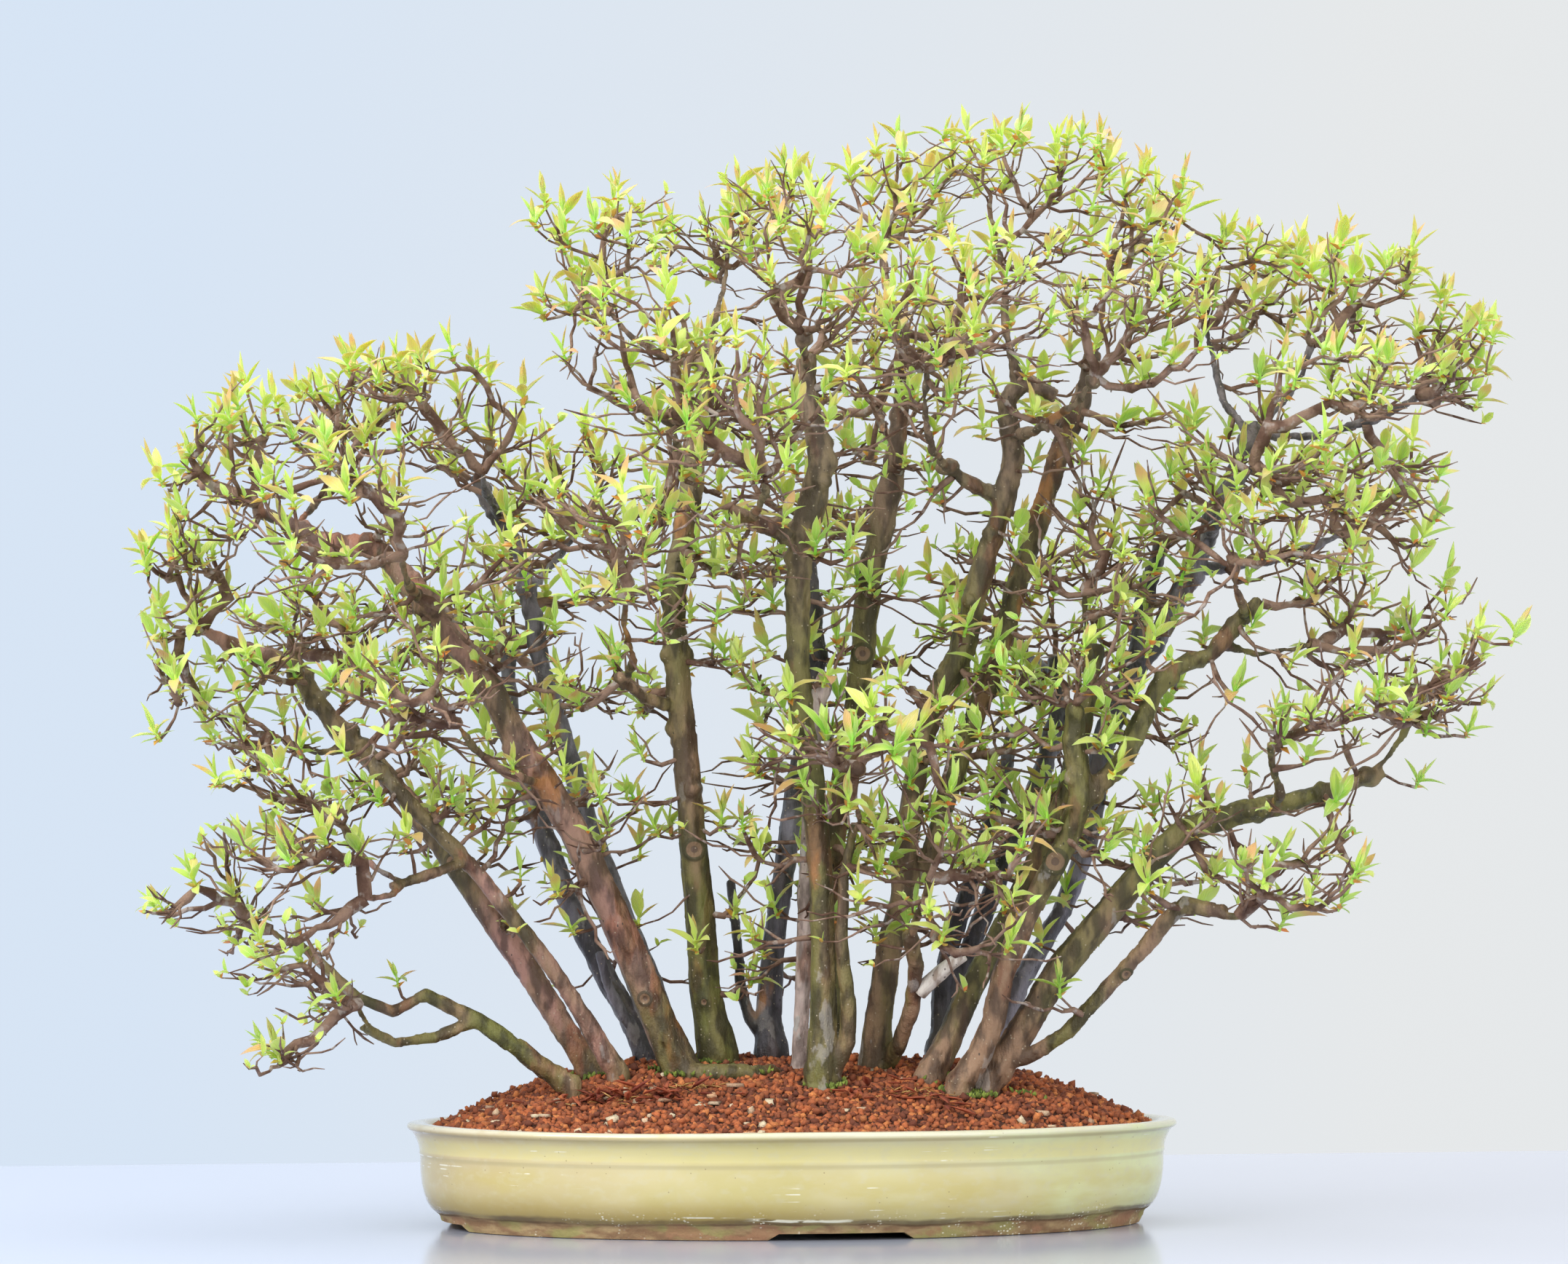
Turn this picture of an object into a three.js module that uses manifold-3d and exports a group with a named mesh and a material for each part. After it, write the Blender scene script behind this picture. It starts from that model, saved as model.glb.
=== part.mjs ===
// Chinese quince bonsai in spring leaf: a clump of stems on a soil mound in an oval glazed pot.
// Millimetres, +Z up, the front of the tree faces -Y, and the pot stands on z = 0.
// Courses of stems and the middles of leafy sprays are given on the tree's front elevation, as
// [x, height], and are then carried back along the line of sight of a viewer in front of the tree.
import * as THREE from 'three';
import { mergeVertices } from 'three/addons/utils/BufferGeometryUtils.js';
import Module from 'manifold-3d';

const wasm = await Module();
wasm.setup();

// The viewer of the front elevation
const VIEW_DISTANCE = 3000;
const EYE_HEIGHT = 220;

// Pot
const POT_HALF_LENGTH = 265;
const POT_HALF_DEPTH = 185;
const POT_TURN = THREE.MathUtils.degToRad(11);
const POT_SECTORS = 36;
const FLOOR_TOP = 13;
const FLOOR_UNDERSIDE = 5;
const FLOOR_RADIUS = 226;
const FOOT_RADIUS = 240;
const FOOT_WIDTH = 14;
const FOOT_GAP_LENGTH = 92;
const FOOT_GAP_HEIGHT = 4.5;
const DRAIN_RADIUS = 15;
const DRAIN_SPACING = 210;

// Soil
const SOIL_EDGE = 66;
const SOIL_RISE = 46;
const SOIL_PEAK_Y = 35;
const SOIL_HALF_LENGTH = 240;
const SOIL_FRONT_RUN = 175;
const SOIL_BACK_RUN = 140;
const SOIL_ROUGHNESS = 1.2;
const FIT = 0.4;

// Wood
const STEM_SIDES = 6;
const FORK_SIDES = 5;
const BOUGH_SIDES = 4;
const TWIG_SIDES = 3;
const ROOT_DEPTH = 24;
const HOLE_TOP = 132;
const BOUGH_TIP = 2.3;
const TWIG_ROOT = 2;
const TWIG_TIP = 1.1;
const SEAT_GAP = 0.3;
const CLEARANCE = 0.7;

// Leaves
const TIPS_PER_SPRAY = 4;
const BUD_LENGTH = 3.5;
const LEAF_LENGTH = 29;
const LEAF_WIDTH = 10;
const LEAF_THICKNESS = 1.2;
const LEAF_BROADEST = 0.45;
const LEAF_ARCH = 0.32;
const LEAF_FOLD = 0.25;
const LEAF_SIZES = [1, 0.84, 0.76];
const LEAF_SPREADS = [1, 0.8, 0.3];
const CROWN_MIDDLE = new THREE.Vector3(0, 0, 380);

const COLOURS = {
  glaze: 0xd8d09c,
  soil: 0x7c4530,
  bark: 0x6b5647,
  darkBark: 0x4a4644,
  leaf: 0xa5c93f,
};

// Stems, from left to right as they leave the soil. The first shoot of each stem is the trunk, and
// the others start on it. A course holds [x, height, radius]; depth runs from the foot to the top.
const STEMS = [
  { colour: 'bark', shoots: [
    { depth: [-50, -62], course: [[-153, 92, 6.5], [-173, 106, 6.2], [-196, 123, 6], [-218, 138, 5.5],
      [-253, 155, 4.5], [-275, 143, 4.2], [-300, 153, 4], [-322, 174, 3.4], [-345, 194, 2.8]] },
    { depth: [0, -88], course: [[-219, 137, 4.5], [-246, 126, 3.8], [-274, 122, 3.4], [-296, 133, 3]] },
  ] },
  { colour: 'bark', shoots: [
    { depth: [-4, 14], course: [[-135, 97, 9], [-158, 132, 8.5], [-185, 175, 9], [-213, 215, 9],
      [-241, 255, 8.5], [-266, 287, 8], [-291, 315, 7.5], [-316, 340, 7], [-334, 365, 6.4],
      [-348, 390, 5.5]] },
    { depth: [0, 6], course: [[-346, 384, 5.5], [-380, 391, 6.2], [-404, 403, 4.6], [-425, 404, 3.6]] },
  ] },
  { colour: 'bark', shoots: [
    { depth: [-27, -52], course: [[-121, 102, 7.5], [-133, 120, 7], [-148, 145, 6], [-166, 172, 5.8],
      [-185, 197, 5.5], [-218, 237, 5.5], [-236, 257, 5.5], [-260, 282, 5.5], [-291, 318, 4.5]] },
    { depth: [0, -86], course: [[-226, 246, 4], [-250, 237, 3.8], [-276, 229, 3.2]] },
  ] },
  { colour: 'darkBark', shoots: [
    { depth: [32, 92], course: [[-101, 112, 8.5], [-112, 137, 8], [-127, 162, 8], [-152, 212, 8],
      [-171, 262, 8], [-188, 312, 7.5], [-196, 350, 6.6], [-198, 397, 5.5]] },
    { depth: [0, 26], course: [[-106, 124, 4.5], [-118, 142, 4], [-128, 160, 3.6], [-134, 184, 3.2]] },
  ] },
  { colour: 'bark', shoots: [
    { depth: [-12, -38], course: [[-78, 105, 14], [-93, 137, 12.2], [-106, 167, 12], [-127, 217, 11],
      [-153, 267, 10.5], [-179, 312, 10], [-207, 362, 9.5], [-246, 412, 9], [-266, 437, 8],
      [-291, 462, 7]] },
    { depth: [0, -36], course: [[-287, 458, 6.5], [-327, 465, 7.2], [-351, 480, 5], [-374, 486, 3.6]] },
  ] },
  { colour: 'darkBark', shoots: [
    { depth: [52, 74], course: [[-83, 117, 8.5], [-98, 162, 8], [-115, 202, 8], [-128, 237, 8],
      [-144, 277, 8], [-163, 342, 7.5], [-178, 397, 7], [-189, 452, 6.6], [-211, 492, 5.6],
      [-221, 512, 4.6]] },
  ] },
  { colour: 'bark', shoots: [
    { depth: [14, -6], course: [[-53, 115, 15], [-57, 137, 12.5], [-62, 162, 11], [-65, 212, 10.5],
      [-70, 262, 10], [-75, 312, 9.5], [-80, 362, 9.5], [-83, 437, 9], [-72, 492, 8], [-64, 557, 7],
      [-61, 600, 5.4]] },
    { depth: [0, -40], course: [[-79, 350, 5], [-106, 358, 4.6], [-124, 372, 4]] },
  ] },
  { colour: 'darkBark', shoots: [
    { depth: [36, 62], course: [[-16, 117, 12], [-18, 137, 9.2], [-15, 187, 8.5], [-8, 237, 7.6],
      [0, 292, 7.4], [9, 337, 7.4], [17, 387, 7], [16, 422, 6], [10, 450, 5]] },
    { depth: [0, 52], course: [[-20, 124, 5], [-31, 139, 4.4], [-37, 160, 4], [-40, 195, 3.8],
      [-44, 232, 3.3]] },
  ] },
  { colour: 'bark', shoots: [
    { depth: [-4, 0], course: [[4, 108, 6], [4, 137, 5.5], [6, 187, 5.5], [8, 240, 5.4],
      [11, 297, 5], [13, 350, 4.6], [19, 366, 6.5], [22, 376, 5]] },
  ] },
  { colour: 'bark', shoots: [
    { depth: [-46, -56], course: [[18, 92, 12], [19, 137, 9.5], [19, 187, 8.6], [17, 237, 8.5],
      [12, 300, 8.5], [2, 362, 8.5], [1, 437, 8.8], [9, 478, 9.6], [19, 520, 9.2], [8, 560, 6.2],
      [9, 596, 5.2]] },
    { depth: [0, -76], course: [[6, 462, 6.5], [-22, 478, 7], [-44, 490, 5]] },
    { depth: [0, -64], course: [[26, 104, 6.5], [36, 122, 6], [36, 150, 5.4], [32, 190, 4.6],
      [33, 236, 4], [40, 272, 3.4]] },
  ] },
  { colour: 'bark', shoots: [
    { depth: [26, 12], course: [[27, 112, 8.5], [25, 162, 8], [24, 237, 8], [29, 287, 8],
      [40, 337, 8.5], [46, 387, 8], [52, 437, 8.6], [65, 487, 8.6], [71, 527, 7.4], [76, 565, 6],
      [79, 600, 4.6]] },
  ] },
  { colour: 'bark', shoots: [
    { depth: [2, -18], course: [[54, 106, 11], [57, 137, 10], [65, 187, 9.2], [74, 217, 9.4],
      [76, 262, 8.6], [85, 312, 8.2], [98, 362, 8.6], [113, 390, 9.4], [126, 437, 8.6],
      [142, 487, 8.4], [150, 527, 7.6], [145, 562, 7], [158, 576, 6.4], [179, 567, 6.2]] },
    { depth: [0, 34], course: [[75, 226, 7.5], [90, 244, 7.2], [104, 287, 7.5], [121, 337, 7.5],
      [138, 380, 8.2], [156, 437, 8.4], [178, 512, 8], [198, 562, 7], [206, 600, 5]] },
    { depth: [0, -34], course: [[137, 500, 5.5], [118, 508, 5], [102, 520, 4.6]] },
    { depth: [0, -66], course: [[62, 104, 6.5], [71, 121, 5.8], [80, 145, 5.6], [83, 175, 5.4],
      [78, 196, 6]] },
  ] },
  { colour: 'darkBark', shoots: [
    { depth: [40, 72], course: [[96, 115, 8], [106, 152, 7.4], [120, 187, 7], [130, 212, 7],
      [150, 262, 7], [172, 312, 6.6], [181, 345, 6], [178, 385, 5]] },
    { depth: [0, 36], course: [[99, 128, 6.5], [100, 158, 7], [106, 188, 7], [123, 237, 6.5],
      [139, 287, 6], [146, 312, 5.2], [151, 338, 4.4]] },
  ] },
  { colour: 'bark', shoots: [
    { depth: [-30, 4], course: [[91, 97, 9.5], [104, 121, 9], [115, 148, 9], [139, 194, 8.5],
      [164, 239, 8.5], [174, 262, 8.4], [187, 295, 7.2], [199, 345, 6.2], [208, 395, 5]] },
  ] },
  { colour: 'bark', shoots: [
    { depth: [-58, -66], course: [[112, 94, 8.5], [126, 113, 8], [136, 137, 8], [141, 165, 8],
      [159, 209, 8], [185, 256, 8], [196, 290, 9], [190, 330, 8], [193, 352, 5.6]] },
    { depth: [0, -36], course: [[193, 283, 7.5], [212, 302, 7.5], [226, 318, 7.5], [237, 340, 7.4],
      [249, 364, 7], [262, 378, 6.4], [287, 388, 5.4], [305, 408, 6], [322, 425, 5.4]] },
  ] },
  { colour: 'darkBark', shoots: [
    { depth: [38, 40], course: [[134, 115, 7.5], [142, 130, 7], [154, 161, 7], [183, 213, 7],
      [199, 257, 7.5], [208, 308, 8], [215, 338, 9.2], [226, 363, 8.4], [240, 400, 7],
      [243, 437, 6.2], [252, 468, 4.8]] },
    { depth: [0, 14], course: [[229, 370, 7], [249, 392, 7.2], [262, 425, 8.2], [277, 458, 8.2],
      [290, 492, 7.4], [304, 518, 6], [320, 548, 4.8]] },
  ] },
  { colour: 'bark', shoots: [
    { depth: [-44, -56], course: [[131, 96, 10.5], [147, 117, 10], [179, 169, 10], [194, 188, 10],
      [217, 214, 9.6], [252, 253, 8.8], [266, 267, 8.4], [304, 279, 8.4], [339, 286, 7.2],
      [374, 297, 5.6], [405, 309, 4]] },
    { depth: [0, -92], course: [[140, 108, 6], [162, 114, 5.4], [186, 129, 5.2], [218, 164, 5.2],
      [238, 185, 5.6], [257, 207, 6], [268, 216, 6.6], [296, 211, 4.4]] },
    { depth: [0, -104], course: [[227, 174, 4.4], [243, 161, 4.4], [270, 162, 3.8], [292, 176, 3]] },
  ] },
];

// The thick root that lies on the soil beside a leaning trunk: [x, y, height, radius].
const SURFACE_ROOT_STEM = 4;
const SURFACE_ROOT = [
  [-74, -20, 101, 7], [-52, -24, 102, 5.5], [-32, -22, 102, 5], [-16, -18, 103, 4.2], [-10, -12, 102, 3],
];

// Leafy sprays: [stem, x, height, depth, half width, half height], on the front elevation.
const SPRAYS = [
  [0, -385, 205, -72, 58, 32],
  [0, -318, 152, -118, 50, 26],
  [2, -318, 226, -125, 58, 30],
  [2, -340, 287, -74, 58, 32],
  [1, -425, 422, 0, 42, 38],
  [1, -388, 345, -12, 58, 40],
  [1, -335, 400, 110, 60, 42],
  [3, -215, 418, 162, 60, 44],
  [4, -255, 352, -134, 56, 36],
  [4, -395, 520, -41, 54, 52],
  [4, -322, 562, 79, 62, 50],
  [4, -300, 478, -142, 64, 42],
  [5, -235, 552, -12, 62, 52],
  [5, -165, 500, 178, 64, 50],
  [6, -142, 664, -17, 66, 54],
  [6, -52, 690, 79, 58, 46],
  [6, -100, 590, -134, 70, 48],
  [6, -132, 462, -134, 60, 42],
  [9, 5, 655, -96, 62, 54],
  [9, -22, 546, -180, 64, 42],
  [7, 2, 505, 166, 74, 50],
  [10, 66, 714, 41, 66, 54],
  [10, 62, 592, 151, 66, 48],
  [11, 152, 716, -43, 66, 54],
  [11, 104, 622, -146, 66, 46],
  [11, 236, 690, 58, 64, 48],
  [11, 226, 612, -115, 60, 44],
  [15, 302, 645, 91, 60, 48],
  [15, 380, 632, -10, 62, 44],
  [15, 450, 592, -19, 46, 44],
  [15, 344, 545, -118, 64, 42],
  [15, 402, 492, 79, 62, 44],
  [14, 328, 470, -110, 58, 38],
  [14, 384, 408, -24, 60, 38],
  [16, 446, 362, -70, 48, 42],
  [16, 352, 338, -142, 58, 34],
  [16, 332, 214, -110, 60, 34],
  [13, 226, 452, -36, 60, 42],
  [12, 168, 418, 163, 64, 44],
  [9, 52, 318, -146, 54, 30],
  [11, 104, 238, -118, 46, 26],
];

// A repeatable random draw between 0 and 1.
function seeded(seed) {
  let state = seed;
  return () => {
    state = (state + 0x6d2b79f5) | 0;
    let mixed = Math.imul(state ^ (state >>> 15), 1 | state);
    mixed = (mixed + Math.imul(mixed ^ (mixed >>> 7), 61 | mixed)) ^ mixed;
    return ((mixed ^ (mixed >>> 14)) >>> 0) / 4294967296;
  };
}

const random = seeded(2311);

function between(low, high) {
  return low + (high - low) * random();
}

function randomDirection() {
  const height = between(-1, 1);
  const turn = between(0, 2 * Math.PI);
  const flat = Math.sqrt(1 - height * height);
  return new THREE.Vector3(flat * Math.cos(turn), flat * Math.sin(turn), height);
}

// The point at a depth that a viewer in front sees at this place of the front elevation.
function onSight(x, height, depth) {
  const scale = 1 + depth / VIEW_DISTANCE;
  return new THREE.Vector3(x * scale, depth, EYE_HEIGHT + (height - EYE_HEIGHT) * scale);
}

// A closed mesh as a solid that can be joined and cut.
function solidOf(geometry) {
  geometry.deleteAttribute('normal');
  geometry.deleteAttribute('uv');
  const merged = mergeVertices(geometry, 1e-3);
  return new wasm.Manifold(new wasm.Mesh({
    numProp: 3,
    vertProperties: Float32Array.from(merged.attributes.position.array),
    triVerts: Uint32Array.from(merged.index.array),
  }));
}

function geometryOf(solid) {
  const mesh = solid.getMesh();
  const geometry = new THREE.BufferGeometry();
  geometry.setAttribute('position', new THREE.BufferAttribute(mesh.vertProperties, 3));
  geometry.setIndex(new THREE.BufferAttribute(mesh.triVerts, 1));
  geometry.computeVertexNormals();
  return geometry;
}

// Joins solids into one body; a scrap that doesn't touch the rest is dropped.
function joined(solids) {
  const whole = solids.reduce((sum, solid) => sum.add(solid));
  const bodies = whole.decompose();
  return bodies.reduce((largest, body) => (body.volume() > largest.volume() ? body : largest));
}

function nodeOf(name, solid, colour, roughness) {
  const material = new THREE.MeshStandardMaterial({ color: colour, roughness, metalness: 0 });
  const mesh = new THREE.Mesh(geometryOf(solid), material);
  mesh.name = name;
  return mesh;
}

// A turned profile of [radius at the long end, height], drawn in to the pot's oval.
function ovalSolid(profile) {
  const outline = profile.map(([radius, height]) => new THREE.Vector2(radius, height));
  const shape = new THREE.LatheGeometry(outline, POT_SECTORS);
  shape.rotateX(Math.PI / 2);
  const places = shape.attributes.position;
  for (let i = 0; i < places.count; i += 1) {
    const radius = Math.hypot(places.getX(i), places.getY(i));
    const drawnIn = (POT_HALF_LENGTH - POT_HALF_DEPTH) * Math.min(1, radius / FLOOR_RADIUS);
    places.setY(i, radius > 0 ? places.getY(i) * (1 - drawnIn / radius) : 0);
  }
  shape.rotateZ(POT_TURN);
  return shape;
}

// The inside of the pot's wall from rim to floor, which the soil follows at a small distance.
function innerWall(inset) {
  return [[247 - inset, SOIL_EDGE], [240 - inset, 24], [FLOOR_RADIUS - inset, FLOOR_TOP]];
}

function footGap(length, depth) {
  const outline = new THREE.Shape();
  outline.moveTo(-length / 2 - FOOT_GAP_HEIGHT, -1);
  outline.lineTo(length / 2 + FOOT_GAP_HEIGHT, -1);
  outline.lineTo(length / 2 - FOOT_GAP_HEIGHT, FOOT_GAP_HEIGHT);
  outline.lineTo(-length / 2 + FOOT_GAP_HEIGHT, FOOT_GAP_HEIGHT);
  const shape = new THREE.ExtrudeGeometry(outline, { depth, bevelEnabled: false });
  shape.rotateX(Math.PI / 2);
  shape.translate(0, depth / 2, 0);
  return shape;
}

// Oval stoneware pot: rolled lip, waisted neck, full body, and a low foot with a gap on each side.
function makePot() {
  const outside = [
    [FOOT_RADIUS, 0], [242, 7], [250, 14], [254, 24], [256, 49], [258, 55], [263, 61],
    [POT_HALF_LENGTH, 66], [262, 71], [252, 71],
  ];
  const footInside = FOOT_RADIUS - FOOT_WIDTH;
  const underside = [[0, FLOOR_UNDERSIDE], [footInside, FLOOR_UNDERSIDE], [footInside, 0]];
  const profile = [...underside, ...outside, ...innerWall(0), [0, FLOOR_TOP]];
  let pot = solidOf(ovalSolid(profile));
  const across = footGap(FOOT_GAP_LENGTH, 2 * POT_HALF_LENGTH).rotateZ(POT_TURN);
  const along = footGap(FOOT_GAP_LENGTH, 2 * POT_HALF_LENGTH).rotateZ(POT_TURN + Math.PI / 2);
  pot = pot.subtract(solidOf(across)).subtract(solidOf(along));
  for (const side of [-1, 1]) {
    const drain = new THREE.CylinderGeometry(DRAIN_RADIUS, DRAIN_RADIUS, 3 * FLOOR_TOP, 12);
    drain.rotateX(Math.PI / 2).translate(side * DRAIN_SPACING / 2, 0, FLOOR_TOP).rotateZ(POT_TURN);
    pot = pot.subtract(solidOf(drain));
  }
  return pot;
}

// Height of the soil mound, which is fullest a little behind the middle.
function soilHeight(x, y) {
  const lengthways = 1 - Math.min(1, Math.abs(x / SOIL_HALF_LENGTH)) ** 3.2;
  const run = y < SOIL_PEAK_Y ? SOIL_FRONT_RUN : SOIL_BACK_RUN;
  const crosswise = 1 - Math.min(1, Math.abs(y - SOIL_PEAK_Y) / run) ** 1.35;
  return SOIL_EDGE + SOIL_RISE * lengthways * crosswise;
}

function makeSoil(holes) {
  const bottomUp = innerWall(FIT).reverse();
  const surface = [0.86, 0.68, 0.48, 0.26].map((part) => [part * 247, SOIL_EDGE + 1]);
  const floor = [0, FLOOR_TOP + FIT];
  bottomUp[0][1] += FIT;
  const shape = ovalSolid([floor, ...bottomUp, ...surface, [0, SOIL_EDGE + 1]]);
  const places = shape.attributes.position;
  const roughness = new Map();
  for (let i = 0; i < places.count; i += 1) {
    const [x, y] = [places.getX(i), places.getY(i)];
    const key = `${Math.round(x)},${Math.round(y)}`;
    if (!roughness.has(key)) {
      roughness.set(key, between(-SOIL_ROUGHNESS, SOIL_ROUGHNESS));
    }
    if (places.getZ(i) > SOIL_EDGE + 0.5) {
      places.setZ(i, soilHeight(x, y) + roughness.get(key));
    }
  }
  return holes.reduce((soil, hole) => soil.subtract(hole), solidOf(shape));
}

// A round limb with its own radius at each point: a cylinder whose rings are moved onto the course.
function limb(points, radii, sides) {
  const shape = new THREE.CylinderGeometry(1, 1, 1, sides, points.length - 1);
  const places = shape.attributes.position;
  const frames = ringFrames(points);
  for (let i = 0; i < places.count; i += 1) {
    const ring = Math.round((0.5 - places.getY(i)) * (points.length - 1));
    const place = points[ring].clone();
    place.addScaledVector(frames[ring].across, places.getX(i) * radii[ring]);
    place.addScaledVector(frames[ring].beside, places.getZ(i) * radii[ring]);
    places.setXYZ(i, place.x, place.y, place.z);
  }
  return solidOf(shape);
}

// Directions across a course at each of its points, turned as little as possible from one to the next.
// The first one may be square to a given direction instead of to the course.
function ringFrames(points, first = null) {
  let across = new THREE.Vector3(0.31, 1, 0.17);
  return points.map((point, i) => {
    const before = points[Math.max(0, i - 1)];
    const after = points[Math.min(points.length - 1, i + 1)];
    const ahead = i === 0 && first ? first : after.clone().sub(before).normalize();
    across = across.clone().addScaledVector(ahead, -across.dot(ahead)).normalize();
    return { across, beside: ahead.clone().cross(across) };
  });
}

// Every stretch of wood and every leaf made so far, to keep the next one clear of other nodes.
const stretches = [];

function isClear(points, radii, nodes, gap = CLEARANCE) {
  const others = stretches.filter((other) => !nodes.includes(other.node));
  return points.slice(1).every((point, i) => {
    const line = new THREE.Line3(points[i], point);
    const radius = Math.max(radii[i], radii[i + 1]);
    return others.every((other) => {
      const room = radius + other.radius + gap;
      return line.distanceSqToLine3(other.line) > room * room;
    });
  });
}

function keep(points, radii, node) {
  points.slice(1).forEach((point, i) => {
    const radius = Math.max(radii[i], radii[i + 1]);
    stretches.push({ line: new THREE.Line3(points[i].clone(), point.clone()), radius, node });
  });
}

// The points of a shoot in space. A fork takes its first depth from the trunk beside it.
function shootPoints(shoot, trunk) {
  const [foot, top] = shoot.depth;
  let start = foot;
  if (trunk) {
    const [x, height] = shoot.course[0];
    const sideways = (point) => Math.hypot(point.x - x, point.z - height);
    start = trunk.reduce((best, point) => (sideways(point) < sideways(best) ? point : best)).y;
  }
  const last = shoot.course.length - 1;
  return shoot.course.map(([x, height], i) => onSight(x, height, start + (top - start) * (i / last)));
}

// A trunk goes on down into the soil from its first point.
function rooted(points) {
  const lean = points[0].clone().sub(points[1]).normalize().multiplyScalar(0.5);
  const down = lean.add(new THREE.Vector3(0, 0, -1)).normalize();
  return [points[0].clone().addScaledVector(down, ROOT_DEPTH), ...points];
}

// Makes the shoots of one stem, and the hole that its foot stands in.
function makeStem(stem, index) {
  const node = `stem_${String(index + 1).padStart(2, '0')}`;
  const made = { node, colour: stem.colour, shoots: [], solids: [], holes: [] };
  stem.shoots.forEach((shoot, i) => {
    let points = shootPoints(shoot, made.shoots[0]?.points);
    let radii = shoot.course.map((station) => station[2]);
    if (i === 0) {
      points = rooted(points);
      radii = [radii[0] * 0.8, ...radii];
    }
    const sides = i === 0 ? STEM_SIDES : FORK_SIDES;
    made.shoots.push({ points, radii });
    made.solids.push(limb(points, radii, sides));
    keep(points, radii, node);
    if (points[0].z < HOLE_TOP) {
      made.holes.push(holeRound(points.slice(0, 3), radii.slice(0, 3), sides));
    }
  });
  return made;
}

// The space that a foot takes up in the soil, a little wider and deeper than the foot.
function holeRound(points, radii, sides) {
  const down = points[0].clone().sub(points[1]).normalize();
  const deeper = [points[0].clone().addScaledVector(down, FIT), ...points.slice(1)];
  return limb(deeper, radii.map((radius) => radius + FIT), sides);
}

// Where a bough may leave a stem: at two places on each stretch of its shoots.
function boughStarts(stem) {
  return stem.shoots.flatMap((shoot) => shoot.points.slice(2).flatMap((point, i) => {
    const before = shoot.points[i + 1];
    const radius = shoot.radii[i + 2];
    return [0.35, 0.7].map((part) => ({ point: before.clone().lerp(point, part), radius }));
  })).filter((start) => start.point.z > HOLE_TOP);
}

// A bough from a stem to a seat, rising and crooked, clear of every other stem.
function growBough(stem, seat) {
  const effort = (start) => {
    const run = seat.clone().sub(start.point);
    const length = run.length();
    return length + 1.4 * Math.max(0, 0.25 * length - run.z);
  };
  const starts = boughStarts(stem).sort((a, b) => effort(a) - effort(b));
  for (let attempt = 0; attempt < 160; attempt += 1) {
    const start = starts[Math.min(starts.length - 1, Math.floor(attempt / 16))];
    const length = start.point.distanceTo(seat);
    const wander = length * (0.07 + 0.012 * (attempt % 16));
    const sag = new THREE.Vector3(0, 0, -0.1 * length);
    const points = [0, 0.4, 0.75, 1].map((part) => {
      const inner = part > 0 && part < 1;
      const point = start.point.clone().lerp(seat, part).addScaledVector(sag, 4 * part * (1 - part));
      return inner ? point.addScaledVector(randomDirection(), wander * (1 - 0.6 * part)) : point;
    });
    const root = Math.min(0.75 * start.radius, BOUGH_TIP + length / 45);
    const radii = [1, 0.6, 0.25, 0].map((part) => BOUGH_TIP + (root - BOUGH_TIP) * part);
    if (isClear(points, radii, [stem.node])) {
      return { points, radii };
    }
  }
  throw new Error(`no clear bough from ${stem.node}`);
}

// Corners of a three-sided ring round a point of a twig, counted round the way that the twig runs.
function twigRing(point, frame, radius) {
  return [0, 1, 2].map((corner) => {
    const turn = (corner / TWIG_SIDES) * 2 * Math.PI;
    const place = point.clone().addScaledVector(frame.across, radius * Math.cos(turn));
    return place.addScaledVector(frame.beside, radius * Math.sin(turn));
  });
}

// One blade: two edges and a keel where it is broadest, then its point. It arches away from its face.
function bladeCorners({ base, direction, face, length, width }) {
  const beside = direction.clone().cross(face);
  const along = (part) => {
    const place = base.clone().addScaledVector(direction, length * part);
    return place.addScaledVector(face, -LEAF_ARCH * length * part * part);
  };
  const rise = (LEAF_FOLD * width) / 2;
  const middle = along(LEAF_BROADEST).addScaledVector(face, rise);
  const [left, right] = [0.5, -0.5].map((side) => middle.clone().addScaledVector(beside, side * width));
  return { ring: [left, middle.clone().addScaledVector(face, -LEAF_THICKNESS), right], point: along(1) };
}

function budPoint(points) {
  const tip = points[points.length - 1];
  return tip.clone().addScaledVector(tip.clone().sub(points[points.length - 2]).normalize(), BUD_LENGTH);
}

// A three-sided twig that ends in a bud point, each face of which may carry a blade.
function leafyTwig(points, radii, first, blades) {
  const corners = [];
  const faces = [];
  const add = (places) => places.map((place) => corners.push(place) - 1);
  const wall = (low, high) => low.forEach((corner, i) => {
    const next = (i + 1) % low.length;
    faces.push([corner, low[next], high[next]], [corner, high[next], high[i]]);
  });
  const frames = ringFrames(points, first);
  const rings = points.map((point, i) => add(twigRing(point, frames[i], radii[i])));
  faces.push([rings[0][0], rings[0][2], rings[0][1]]);
  rings.slice(1).forEach((ring, i) => wall(rings[i], ring));
  const last = rings[rings.length - 1];
  const [bud] = add([budPoint(points)]);
  last.forEach((corner, i) => {
    const base = [corner, last[(i + 1) % TWIG_SIDES], bud];
    if (!blades[i]) {
      faces.push(base);
      return;
    }
    const blade = bladeCorners(blades[i]);
    const ring = add(blade.ring);
    const [point] = add([blade.point]);
    wall(base, ring);
    ring.forEach((edge, k) => faces.push([edge, ring[(k + 1) % ring.length], point]));
  });
  const shape = new THREE.BufferGeometry().setFromPoints(corners);
  shape.setIndex(faces.flat());
  return solidOf(shape);
}

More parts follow.
